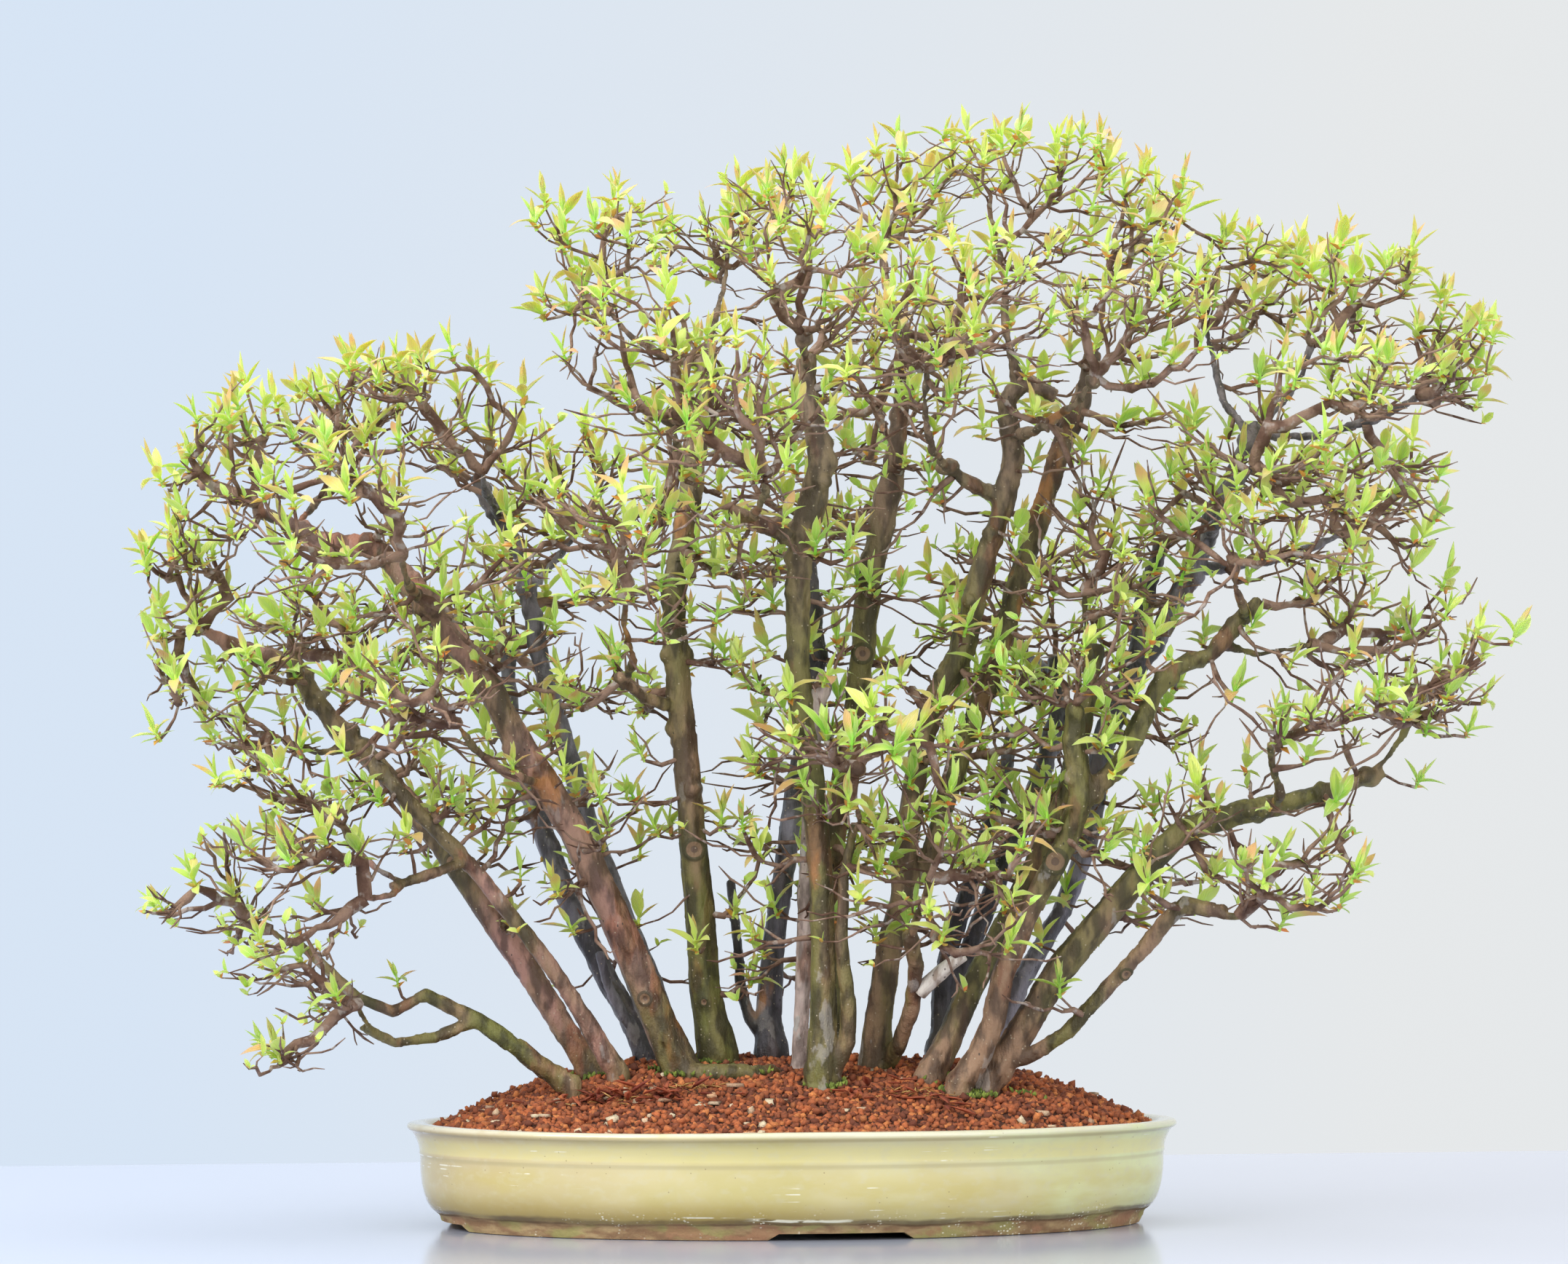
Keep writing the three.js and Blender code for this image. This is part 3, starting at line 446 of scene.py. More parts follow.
def at_scars(tree, place, near, far):
    """A share of 1 on each scar up to the near distance from its middle, and 0 from the far one, in radii."""
    total = 0.0
    for _, middle, radius in scars:
        away = tree.nodes.new("ShaderNodeVectorMath")
        away.operation = "DISTANCE"
        tree.links.new(place, away.inputs[0])
        away.inputs[1].default_value = middle
        on_scar = rising(tree, away.outputs["Value"], far * radius, near * radius)
        total = times(tree, total, on_scar, "MAXIMUM")
    return total


def make_bark(name, damp, brown, aged, ruddy, algae_amount, lichen_amount, roughness=0.72):
    """Bark that runs from damp to brown in large patches and turns to the aged tint high up, with ruddy
    stains, thin pale flakes, green algae low down, round scars and fine pale dots."""
    bark, tree, shader, place = start_material(name, roughness)
    up = coordinates(tree, place)[2]
    tint = blended(tree, clouded(tree, place, 13, 0.44, 0.60, (1, 1, 0.30)), damp, brown)
    tint = laid(tree, tint, rising(tree, up, 0.34, 0.58), 0.75, aged)
    stain = clouded(tree, place, 34, 0.56, 0.62, (1, 1, 0.4), detail=6, shift=4.0)
    tint = laid(tree, tint, stain, 0.65, ruddy)
    rust = clouded(tree, place, 24, 0.62, 0.68, (1, 1, 0.4), detail=6, shift=21.0)
    tint = laid(tree, tint, rust, 0.7, (0.36, 0.150, 0.040))
    algae = clouded(tree, place, 24, 0.45, 0.58, (1, 1, 0.3), shift=12.0)
    algae = times(tree, rising(tree, up, 0.40, 0.11), algae)
    tint = laid(tree, tint, algae, algae_amount, (0.115, 0.125, 0.025))
    mottle = clouded(tree, place, 105, 0.40, 0.60, (1, 1, 0.38), detail=8)
    mottle = blended(tree, mottle, (0.40, 0.37, 0.35), (1.34, 1.31, 1.28))
    tint = blended(tree, 0.9, tint, mottle, "MULTIPLY")
    flake = clouded(tree, place, 44, 0.63, 0.66, (1, 1, 0.5), detail=10, shift=15.0)
    flake = times(tree, times(tree, flake, rising(tree, up, 0.36, 0.22)), lichen_amount)
    tint = blended(tree, flake, tint, (0.46, 0.43, 0.39))
    tint = laid(tree, tint, at_scars(tree, place, 1.05, 1.2), 0.8, tuple(0.4 * part for part in damp))
    tint = laid(tree, tint, at_scars(tree, place, 0.7, 0.8), 0.85, (0.27, 0.165, 0.09))
    tint = laid(tree, tint, at_scars(tree, place, 0.3, 0.36), 0.8, (0.10, 0.06, 0.04))
    tint = laid(tree, tint, specked(tree, place, 520, 0.36, 0.05), 0.65, (0.50, 0.42, 0.29))
    tint = laid(tree, tint, specked(tree, place, 300, 0.22, 0.05, (1, 1, 0.6)), 0.8, (0.02, 0.016, 0.014))
    joined_to(tree, tint, shader.inputs["Base Color"])
    raised(tree, shader, clouded(tree, place, 380, 0, 1, (1, 1, 0.35), detail=8), 0.0011, 0.9)
    raised(tree, shader, clouded(tree, place, 900, 0, 1), 0.0004, 0.7)
    raised(tree, shader, flake, 0.0005, 0.8)
    raised(tree, shader, stain, 0.0004, 0.5)
    return bark


mauve_bark = make_bark("mauve_bark", (0.150, 0.110, 0.050), (0.330, 0.180, 0.140), (0.215, 0.140, 0.105),
                       (0.240, 0.085, 0.040), 0.4, 0.4, roughness=0.55)
olive_bark = make_bark("olive_bark", (0.135, 0.120, 0.034), (0.250, 0.155, 0.092), (0.205, 0.140, 0.100),
                       (0.170, 0.070, 0.035), 0.7, 0.4, roughness=0.6)
# Painted shade: the back trunks' bark is a darker, charcoal copy, and its pale blue-grey patches are painted
# highlights.
back_bark_painted_shade = make_bark("back_bark_painted_shade", (0.060, 0.055, 0.064), (0.215, 0.205, 0.245), (0.130, 0.105, 0.095),
                      (0.070, 0.052, 0.048), 0.15, 0.3, roughness=0.45)
pale_bark = make_bark("pale_bark", (0.50, 0.41, 0.37), (0.38, 0.27, 0.23), (0.265, 0.165, 0.120),
                      (0.28, 0.12, 0.06), 0.2, 0.9)
OLIVE_STEMS = ["stem_01", "stem_07", "stem_10", "stem_11", "stem_12", "stem_14", "stem_15", "stem_17"]
wood_looks = {name: ("bark", mauve_bark) for name in STEMS}
wood_looks.update({name: ("bark", olive_bark) for name in OLIVE_STEMS})
wood_looks.update({name: ("dark_bark", back_bark_painted_shade) for name in DARK_STEMS})
wood_looks.update({name: ("bark", pale_bark) for name in PALE_STEMS})

knob = ready_made(bpy.ops.mesh.primitive_ico_sphere_add, subdivisions=2, radius=1, calc_uvs=False)
for name in STEMS:
    trunk = bpy.data.objects.new(name.replace("stem", "trunk"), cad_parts[name].data.copy())
    bpy.context.scene.collection.objects.link(trunk)
    solid = solid_of(trunk.data)
    gnarled = [face for face in trunk.data.polygons if face.center.z > KNOBS_FROM]
    picked(trunk)
    for _ in range(round(len(gnarled) * KNOB_SHARE)):
        face = chance.choice(gnarled)
        thickness = solid.ray_cast(face.center - face.normal * 0.0001, -face.normal)[3] or 0.006
        swelling = bpy.data.objects.new("swelling", knob.data.copy())
        swelling.data.transform(Matrix.Scale(min(KNOB_LARGEST, thickness * chance.uniform(0.30, 0.48)), 4))
        swelling.data.transform(Matrix.Translation(face.center - face.normal * 0.12 * thickness))
        bpy.context.scene.collection.objects.link(swelling)
        swelling.select_set(True)
    bpy.ops.object.join()
    weld = trunk.modifiers.new("weld", "WELD")
    weld.merge_threshold = 0.00001
    voxels = trunk.modifiers.new("voxels", "REMESH")
    voxels.mode = "VOXEL"
    voxels.voxel_size = VOXEL
    rounding = trunk.modifiers.new("rounding", "SMOOTH")
    rounding.factor = 0.5
    rounding.iterations = 6
    for modifier in ("weld", "voxels", "rounding"):
        bpy.ops.object.modifier_apply(modifier=modifier)
    skin = trunk.data
    ways_out = [corner.normal.copy() for corner in skin.vertices]
    for corner, way_out in zip(skin.vertices, ways_out):
        spot = corner.co.copy()
        over_roots = max(0.0, spot.z - SOIL_TOP + FLARE_HEIGHT)
        flare = FLARE_WIDTH * math.exp(-over_roots / FLARE_HEIGHT) if spot.z > SOIL_TOP - 0.04 else 0
        proud = 0.0004 + bark_relief(spot) + flare * (0.6 + 0.9 * noise.noise(spot * 120))
        corner.co = crooked(spot)
        corner.co += way_out * (proud + scar_relief(name, corner.co))
    thinning = trunk.modifiers.new("thinning", "DECIMATE")
    thinning.ratio = FACES_KEPT
    bpy.ops.object.modifier_apply(modifier="thinning")
    skin.polygons.foreach_set("use_smooth", [True] * len(skin.polygons))
    slot, bark = wood_looks[name]
    skin.materials.clear()
    skin.materials.append(bark)
    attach(trunk, "root")
    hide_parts(name)
bpy.data.objects.remove(knob)


def points_on(name, spacing):
    """Places all over a stem's surface, about that far apart."""
    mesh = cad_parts[name].data
    points = []
    for face in mesh.polygons:
        first, second, third = (mesh.vertices[index].co for index in face.vertices[:3])
        for _ in range(math.ceil(face.area / spacing ** 2 - chance.random())):
            u, v = chance.random(), chance.random()
            if u + v > 1:
                u, v = 1 - u, 1 - v
            points.append(crooked(first + u * (second - first) + v * (third - first)))
    return points


WOOD_SPACING = 0.0025
wood_points = {name: points_on(name, WOOD_SPACING) for name in STEMS}
wood_near = KDTree(sum(len(points) for points in wood_points.values()))
for points in wood_points.values():
    for point in points:
        wood_near.insert(point, 0)
wood_near.balance()

# Soil. Loose grains of fired red-brown clay, about five millimetres across and with some pale ones among
# them, heaped over a darker bed that holds the trunks. The bed is coloured very dark as painted shade in
# the gaps between the grains.
GRAIN_SPACING = 0.0039
GRAIN_RADIUS = 0.0024
GRAIN_SIZES = (0.7, 0.85, 1, 1, 1.15, 1.35)
CLEAR_OF_WOOD = 0.0035
BY_RIM_BELOW = 0.070
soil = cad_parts["soil"]
# Painted shade: the bed under the grains is coloured very dark to stand for the shade in the gaps between
# them.
painted_shade_bed, tree, shader, place = start_material("soil_bed_painted_shade", 0.95)
tint = blended(tree, clouded(tree, place, 260, 0.35, 0.65), (0.042, 0.013, 0.007), (0.105, 0.034, 0.015))
joined_to(tree, tint, shader.inputs["Base Color"])
raised(tree, shader, clouded(tree, place, 300, 0, 1), 0.003)
soil.data.materials.clear()
soil.data.materials.append(painted_shade_bed)


def shape_of(piece):
    """The corners, faces and surface coordinates of a modelled piece, which is then removed."""
    mesh = piece.data
    corners = np.array([(*corner.co, 1) for corner in mesh.vertices])
    faces = [tuple(face.vertices) for face in mesh.polygons]
    layer = mesh.uv_layers.active
    surface = np.array([spot.uv for spot in layer.data]) if layer else np.full((len(mesh.loops), 2), 0.25)
    bpy.data.objects.remove(piece)
    return corners, faces, surface


def many(name, batches, material):
    """One piece of many copies. A batch is a shape, the places of its copies and a tone for each copy."""
    corners, faces, surfaces, tones = [], [], [], []
    first = 0
    for (shape, shape_faces, surface), places, colours in batches:
        moved = np.einsum("nij,vj->nvi", np.array(places), shape)[:, :, :3]
        corners.append(moved.reshape(-1, 3))
        tones.append(np.repeat(np.array(colours, float), len(shape), axis=0))
        for copy in range(len(places)):
            start = first + copy * len(shape)
            faces.extend(tuple(start + index for index in face) for face in shape_faces)
        surfaces.append(np.tile(surface, (len(places), 1)))
        first += len(places) * len(shape)
    mesh = bpy.data.meshes.new(name)
    mesh.from_pydata(np.concatenate(corners), [], faces)
    mesh.polygons.foreach_set("use_smooth", [True] * len(mesh.polygons))
    tone = mesh.attributes.new("tone", "FLOAT_COLOR", "POINT")
    values = np.concatenate(tones)
    tone.data.foreach_set("color", np.column_stack([values, np.ones(len(values))]).ravel())
    mesh.uv_layers.new(name="blade").data.foreach_set("uv", np.concatenate(surfaces).ravel())
    mesh.materials.append(material)
    piece = bpy.data.objects.new(name, mesh)
    bpy.context.scene.collection.objects.link(piece)
    return piece


def tone_of(tree):
    """The three numbers of a copy's tone."""
    source = tree.nodes.new("ShaderNodeAttribute")
    source.attribute_name = "tone"
    split = tree.nodes.new("ShaderNodeSeparateColor")
    tree.links.new(source.outputs["Color"], split.inputs[0])
    return split.outputs


grain_shapes = []
for variant in range(4):
    if variant:
        grain = ready_made(bpy.ops.mesh.primitive_cube_add, size=1.45, calc_uvs=False)
    else:
        grain = ready_made(bpy.ops.mesh.primitive_ico_sphere_add, subdivisions=1, radius=1, calc_uvs=False)
    for corner in grain.data.vertices:
        corner.co *= chance.uniform(0.72, 1.12)
        corner.co.x += chance.uniform(-0.2, 0.2)
    grain.data.transform(Matrix.Diagonal((1, chance.uniform(0.8, 1), chance.uniform(0.7, 0.9), 1)))
    grain_shapes.append(shape_of(grain))

clay_grain, tree, shader, place = start_material("clay_grain", 0.92)
dark, warm, pale = tone_of(tree)[:3]
tint = blended(tree, dark, (0.160, 0.045, 0.024), (0.62, 0.175, 0.058))
tint = blended(tree, warm, tint, (0.78, 0.28, 0.085))
tint = blended(tree, pale, tint, (0.88, 0.76, 0.52))
tint = laid(tree, tint, clouded(tree, place, 900, 0.3, 0.7), 0.35, (0.12, 0.045, 0.025))
joined_to(tree, tint, shader.inputs["Base Color"])
raised(tree, shader, clouded(tree, place, 1500, 0, 1), 0.0004)

soil_solid = solid_of(soil.data)


def soil_under(x, y):
    """The point of the soil's surface under a place, or nothing where there is a trunk's hole or no soil."""
    hit = soil_solid.ray_cast(Vector((x, y, 0.3)), Vector((0, 0, -1)))[0]
    return hit if hit is not None and hit.z > 0.055 else None


def placed(point, turn, size):
    """The 4 by 4 place of a copy."""
    return Matrix.Translation(point) @ turn.to_matrix().to_4x4() @ Matrix.Diagonal((*size, 1))


def any_turn():
    """A turn in any direction."""
    return Vector((0, 0, 1)).rotation_difference(Vector([chance.gauss(0, 1) for _ in range(3)]))


def turned_flat():
    """A turn on the spot of something that lies flat."""
    return Matrix.Rotation(chance.uniform(0, 6.28), 3, "Z").to_quaternion()


soil_low, soil_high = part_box("soil")
heaps = [([], []) for _ in grain_shapes]
for layer, spacing in ((0, GRAIN_SPACING), (1, 4.2 * GRAIN_SPACING)):
    for row in range(int((soil_high.y - soil_low.y) / spacing) + 1):
        for step in range(int((soil_high.x - soil_low.x) / spacing) + 1):
            x = soil_low.x + (step + 0.5 * (row % 2) + chance.uniform(-0.3, 0.3)) * spacing
            y = soil_low.y + (row + chance.uniform(-0.3, 0.3)) * spacing
            point = soil_under(x, y)
            if point is None or wood_near.find(point)[2] < CLEAR_OF_WOOD:
                continue
            by_rim = point.z < BY_RIM_BELOW
            radius = GRAIN_RADIUS * chance.choice(GRAIN_SIZES) * chance.uniform(0.9, 1.1)
            point.z += 0.0030 * layer + chance.uniform(-0.0012, 0.0008)
            strewn = 0.035 if x < -0.03 and y < -0.05 else 0.008
            pale = 1 if chance.random() < (strewn if layer == 0 else 4 * strewn) else 0
            length = chance.choice((1, 1, 1.3, 1.9)) if pale else 1
            radius *= 1.3 if pale else 1
            places, colours = chance.choice(heaps)
            turn = any_turn() if length == 1 else turned_flat()
            places.append(placed(point, turn, (radius * length, radius, radius / length)))
            warm = chance.random() if chance.random() < (0.5 if by_rim else 0.2) else 0
            colours.append((chance.random() ** 1.2, warm, pale * chance.uniform(0.35, 1)))
batches = [(shape, *heap) for shape, heap in zip(grain_shapes, heaps)]
grains = many("soil_grains", batches, clay_grain)
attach(grains, "root")

# Leafy sprays. Fine crooked twigs, purple-brown with pale patches, fork from the boughs and end bare, in an
# opening bud or in a tuft of young leaves. A tuft grows upright from orange bud scales: small leaves low
# down, arching ones over them, and a slim upright heart, green with bronze tips.
SPRAYS = [f"spray_{number:02d}" for number in range(1, 42)]
TUFTS_PER_SPRAY = 17
SPURS_PER_SPRAY = 39
SPRAY_SPREAD = 1.25
TUFT_SPACING = 0.0185
LEAVES_CLEAR_OF_WOOD = 0.007
ROOM_OVER_TUFT = 0.018
ROOM_OVER_SPUR = 0.014
SHOOTS_FROM = 0.19
SHOOT_REACH = 0.085
TUFTS_PER_WOOD_POINT = 0.0092
SPURS_PER_TUFT = 2.1
BUD_SHARE = 0.20
CROWN_MIDDLE = Vector((0, 0, 0.38))


def model_blade(name, outline, thickness, fold, arch):
    """A blade drawn out from its stalk to its point. An outline entry is a share of its length and its half
    width, in blade lengths; the blade is folded up along its rib and arches over towards its point."""
    disc = {"vertices": 4, "radius": 1, "fill_type": "NGON", "calc_uvs": False}
    blade = ready_made(bpy.ops.mesh.primitive_circle_add, **disc)
    blade.name = name
    along, half = outline[0]
    for corner, (x, z) in zip(blade.data.vertices, ((0, 1), (-1, 0), (0, -1), (1, 0))):
        lift = fold if x else z * thickness
        corner.co = (x * half, 0, half * lift)
    bpy.ops.object.mode_set(mode="EDIT")
    y = z = 0.0
    for next_along, next_half in outline[1:]:
        lean = arch * (0.3 + 0.7 * (along + next_along) / 2)
        step = (0, (next_along - along) * math.cos(lean), -(next_along - along) * math.sin(lean))
        y, z = y + step[1], z + step[2]
        bpy.ops.mesh.extrude_region_move(TRANSFORM_OT_translate={"value": step})
        bpy.ops.transform.resize(value=[next_half / half] * 3, center_override=(0, y, z))
        along, half = next_along, next_half
    bpy.ops.mesh.select_all(action="SELECT")
    bpy.ops.mesh.normals_make_consistent(inside=False)
    bpy.ops.object.mode_set(mode="OBJECT")
    mesh = blade.data
    layer = mesh.uv_layers.new(name="blade")
    for face in mesh.polygons:
        underside = 1 if face.normal.z < 0 else 0
        for loop in face.loop_indices:
            spot = mesh.vertices[mesh.loops[loop].vertex_index].co
            side = 0.5 if abs(spot.x) < 1e-6 else (0 if spot.x < 0 else 1)
            layer.data[loop].uv = (side + underside, spot.y / y)
    return shape_of(blade)


OUTER_OUTLINE = [
    (0, 0.022), (0.11, 0.085), (0.32, 0.165), (0.57, 0.175), (0.80, 0.110), (0.93, 0.045), (1, 0.004),
]
SLIM_OUTLINE = [(0, 0.030), (0.3, 0.125), (0.65, 0.100), (1, 0.004)]
SMALL_OUTLINE = [(0, 0.06), (0.3, 0.23), (0.7, 0.20), (1, 0.01)]
SCALE_OUTLINE = [(0, 0.16), (0.5, 0.30), (1, 0.03)]
BLADE_KINDS = [
    ("outer", OUTER_OUTLINE, 0.08, [(0.45, 0.9), (0.6, 1.6), (0.35, 0.4)]),
    ("slim", SLIM_OUTLINE, 0.15, [(0.5, 0.2), (0.7, -0.15)]),
    ("small", SMALL_OUTLINE, 0.08, [(0.3, 0.6), (0.45, 1.0)]),
    ("scale", SCALE_OUTLINE, 0.3, [(0.6, 0.3), (0.6, 0.9)]),
]
BLADES = {}
for kind, outline, thickness, shapes in BLADE_KINDS:
    BLADES[kind] = [model_blade(kind, outline, thickness, fold, arch) for fold, arch in shapes]

cone = {"vertices": 5, "radius1": 0.11, "radius2": 0.05, "depth": 1, "calc_uvs": False}
shoot = ready_made(bpy.ops.mesh.primitive_cone_add, **cone)
shoot.data.transform(Matrix.Rotation(math.radians(-90), 4, "X") @ Matrix.Translation((0, 0, 0.42)))
BLADES["shoot"] = [shape_of(shoot)]

leaf, tree, shader, place = start_material("young_leaf", 0.42)
fresh, bronze, scale_share = tone_of(tree)[:3]
surface = tree.nodes.new("ShaderNodeUVMap")
surface.uv_map = "blade"
side, along, _ = coordinates(tree, surface.outputs[0])
under = rising(tree, side, 0.995, 1.005)
across = times(tree, side, under, "SUBTRACT")
off_rib = times(tree, times(tree, across, 0.5, "SUBTRACT"), 0.0, "ABSOLUTE")
tint = blended(tree, fresh, (0.29, 0.65, 0.063), (0.68, 0.89, 0.155))
tint = laid(tree, tint, rising(tree, along, 0.20, 0.80), 0.3, (0.74, 0.86, 0.22))
tint = laid(tree, tint, rising(tree, off_rib, 0.36, 0.5), 0.5, (0.80, 0.88, 0.38))
tint = laid(tree, tint, rising(tree, off_rib, 0.05, 0.01), 0.6, (0.68, 0.80, 0.28))
reach = times(tree, rising(tree, along, 0.10, 0.70), bronze)
tint = laid(tree, tint, reach, 0.9, (0.68, 0.27, 0.14))
green_under = times(tree, under, times(tree, 1.0, reach, "SUBTRACT"))
tint = laid(tree, tint, green_under, 0.35, (0.50, 0.70, 0.16))
tint = blended(tree, scale_share, tint, (0.74, 0.20, 0.045))
joined_to(tree, tint, shader.inputs["Base Color"])
shader.inputs["Subsurface Weight"].default_value = 0.35
shader.inputs["Subsurface Radius"].default_value = (0.5, 1.0, 0.1)
shader.inputs["Subsurface Scale"].default_value = 0.004
veins = tree.nodes.new("ShaderNodeTexWave")
veins.bands_direction = "Y"
veins.inputs["Scale"].default_value = 2.2
veins.inputs["Distortion"].default_value = 0.0
slant = tree.nodes.new("ShaderNodeCombineXYZ")
tree.links.new(times(tree, along, off_rib, "SUBTRACT"), slant.inputs["Y"])
tree.links.new(slant.outputs[0], veins.inputs["Vector"])
raised(tree, shader, veins.outputs["Color"], 0.0003, 0.5)

twig_bark, tree, shader, place = start_material("twig_bark", 0.8)
tint = blended(tree, clouded(tree, place, 60, 0.4, 0.6), (0.110, 0.052, 0.030), (0.275, 0.170, 0.116))
tint = laid(tree, tint, clouded(tree, place, 110, 0.56, 0.66, shift=3.0), 0.8, (0.40, 0.34, 0.29))
joined_to(tree, tint, shader.inputs["Base Color"])
raised(tree, shader, clouded(tree, place, 600, 0, 1), 0.0006)

crown_low = Vector(cad_box[0]) + Vector((0.028, 0.027, 0.0))
crown_high = Vector(cad_box[1]) - Vector((0.027, 0.027, 0.029))
# The crown's outline as seen from the front: how far right and how high each of its points is, in metres.
CROWN_EDGE = [
    (0.288, 0.164), (0.317, 0.189), (0.356, 0.214), (0.365, 0.256), (0.399, 0.288), (0.443, 0.330),
    (0.478, 0.380), (0.458, 0.426), (0.440, 0.471), (0.445, 0.523), (0.488, 0.608), (0.435, 0.645),
    (0.395, 0.686), (0.329, 0.698), (0.273, 0.710), (0.235, 0.740), (0.187, 0.755), (0.137, 0.757),
    (0.093, 0.772), (0.045, 0.766), (0.000, 0.762), (-0.043, 0.741), (-0.083, 0.721), (-0.125, 0.719),
    (-0.170, 0.716), (-0.212, 0.694), (-0.222, 0.629), (-0.243, 0.603), (-0.315, 0.616), (-0.369, 0.601),
    (-0.405, 0.564), (-0.452, 0.530), (-0.450, 0.474), (-0.486, 0.432), (-0.462, 0.378), (-0.452, 0.330),
    (-0.405, 0.289), (-0.450, 0.235), (-0.440, 0.188), (-0.400, 0.150), (-0.375, 0.110), (0.0, 0.110),
]
MOST_TUFTS = 4000
FAR_OFF = 9.0
taken = np.full((MOST_TUFTS, 3), FAR_OFF)
tuft_ends = []


def in_crown(point, rise=0.0):
    """Whether a point, and one that far over it, lie in the crown's outline as seen from the front."""
    if not all(low < value < high for low, value, high in zip(crown_low, point, crown_high)):
        return False
    for z in (point.z, point.z + rise):
        crossings = 0
        for (x1, z1), (x2, z2) in zip(CROWN_EDGE, CROWN_EDGE[1:] + CROWN_EDGE[:1]):
            if (z1 > z) != (z2 > z) and point.x < x1 + (z - z1) / (z2 - z1) * (x2 - x1):
                crossings += 1
        if crossings % 2 == 0:
            return False
    return True


def scattered(count, spacing, propose):
    """Ends of leafy twigs, spread evenly among the places that propose gives, clear of the wood."""
    ends = []
    for _ in range(50 * count):
        if len(ends) == count:
            break
        end = propose()
        if not in_crown(end, ROOM_OVER_TUFT):
            continue
        if np.min(np.sum((taken - np.array(end)) ** 2, axis=1)) < spacing ** 2:
            continue
        if wood_near.find(end)[2] < LEAVES_CLEAR_OF_WOOD:
            continue
        ends.append(end)
        taken[len(tuft_ends)] = end
        tuft_ends.append(end)
    return ends


def any_way():
    """A direction drawn at random."""
    return Vector([chance.gauss(0, 1) for _ in range(3)]).normalized()


def grow_twigs(ends, spur_count):
    """Joins the ends to the wood by crooked twigs that fork from each other, and adds long bare twigs and
    short spurs. Gives the points, the point before each, which are thin, the leafy tips and the bare ones."""
    points, parents, paths, thin, tips, bare_tips = [], [], [], [], [], []

    def extend(origin, end, steps, is_thin):
        run = end - points[origin]
        side = run.orthogonal().normalized()
        side.rotate(Matrix.Rotation(chance.uniform(0, 6.28), 3, run))
        start, last, swing = points[origin], origin, 1
        for step in range(1, steps + 1):
            share = step / steps
            point = start.lerp(end, share)
            if step < steps:
                point += side * (swing * 0.0018 * chance.uniform(0.3, 1.5))
                point.z -= 0.28 * run.length * share * (1 - share)
                side.rotate(Matrix.Rotation(chance.uniform(0.3, 1.6), 3, run))
                swing = -swing
            points.append(point)
            parents.append(last)
            paths.append(paths[last] + (point - points[last]).length)
            thin.append(is_thin)
            last = len(points) - 1
        return last

    for end in sorted(ends, key=lambda place: wood_near.find(place)[2]):
        seat, _, gap = wood_near.find(end)
        if points:
            cost = np.linalg.norm(np.array(points) - np.array(end), axis=1) + 0.4 * np.array(paths)
            origin = int(np.argmin(cost))
        if not points or gap + 0.006 < cost[origin]:
            points.append(seat + (seat - end).normalized() * 0.002)
            parents.append(-1)
            paths.append(0.0)
            thin.append(False)
            origin = len(points) - 1
        steps = max(2, round((end - points[origin]).length / 0.0105))
        tips.append(extend(origin, end, steps, False))
    for share, shortest, longest in ((0.75, 0.022, 0.068), (0.8, 0.006, 0.018)):
        old_wood = sorted(set(range(len(points))) - set(tips) - set(bare_tips))
        old_wood = [index for index in old_wood if parents[index] >= 0]
        for _ in range(round(share * spur_count) if old_wood else 0):
            origin = chance.choice(old_wood)
            growth = (points[origin] - points[parents[origin]]).normalized()
            way = any_way() + Vector((0, 0, 0.3)) + growth
            way.z *= 0.6
            length = chance.uniform(shortest, longest)
            way.normalize()
            end = points[origin] + way * length
            if in_crown(end, ROOM_OVER_SPUR):
                bare_tips.append(extend(origin, end, max(2, round(length / 0.0100)), True))
    return points, parents, thin, tips, bare_tips


def twig_piece(name, points, parents, thin):
    """The twigs as round wood, thicker where more of them hang on it and finer at the top of the crown."""
    load = [0] * len(points)
    has_child = set(parents)
    for index in range(len(points)):
        if index not in has_child:
            walker = index
            while walker >= 0:
                load[walker] += 1
                walker = parents[walker]
    radius = []
    for index, point in enumerate(points):
        girth = min(4.2, (0.72 if thin[index] else 1.0) * load[index] ** 0.42) * chance.uniform(0.8, 1.35)
        girth *= 1 - 0.35 * min(1.0, max(0.0, (point.z - 0.55) / 0.12))
        if thin[index] and index not in has_child:
            girth *= 0.45
        radius.append(girth)
    children = {}
    for index, parent in enumerate(parents):
        if parent >= 0:
            children.setdefault(parent, []).append(index)
    curve = bpy.data.curves.new(name, "CURVE")
    curve.dimensions = "3D"
    curve.bevel_depth = 0.001
    curve.bevel_resolution = 1
    curve.use_fill_caps = True
    starts = [(None, index) for index, parent in enumerate(parents) if parent < 0]
    while starts:
        before, index = starts.pop()
        chain = [] if before is None else [before]
        while True:
            chain.append(index)
            branches = sorted(children.get(index, []), key=lambda child: -load[child])
            if not branches:
                break
            starts.extend((index, child) for child in branches[1:])
            index = branches[0]
        line = curve.splines.new("POLY")
        line.points.add(len(chain) - 1)
        for order, (spot, stop) in enumerate(zip(line.points, chain)):
            spot.co = (*points[stop], 1)
            spot.radius = radius[stop] if before is None or order > 0 else radius[chain[1]]
    piece = bpy.data.objects.new(name, curve)
    bpy.context.scene.collection.objects.link(piece)
    picked(piece)
    bpy.ops.object.convert(target="MESH")
    piece = bpy.context.object
    piece.data.polygons.foreach_set("use_smooth", [True] * len(piece.data.polygons))
    piece.data.materials.clear()
    piece.data.materials.append(twig_bark)
    return piece


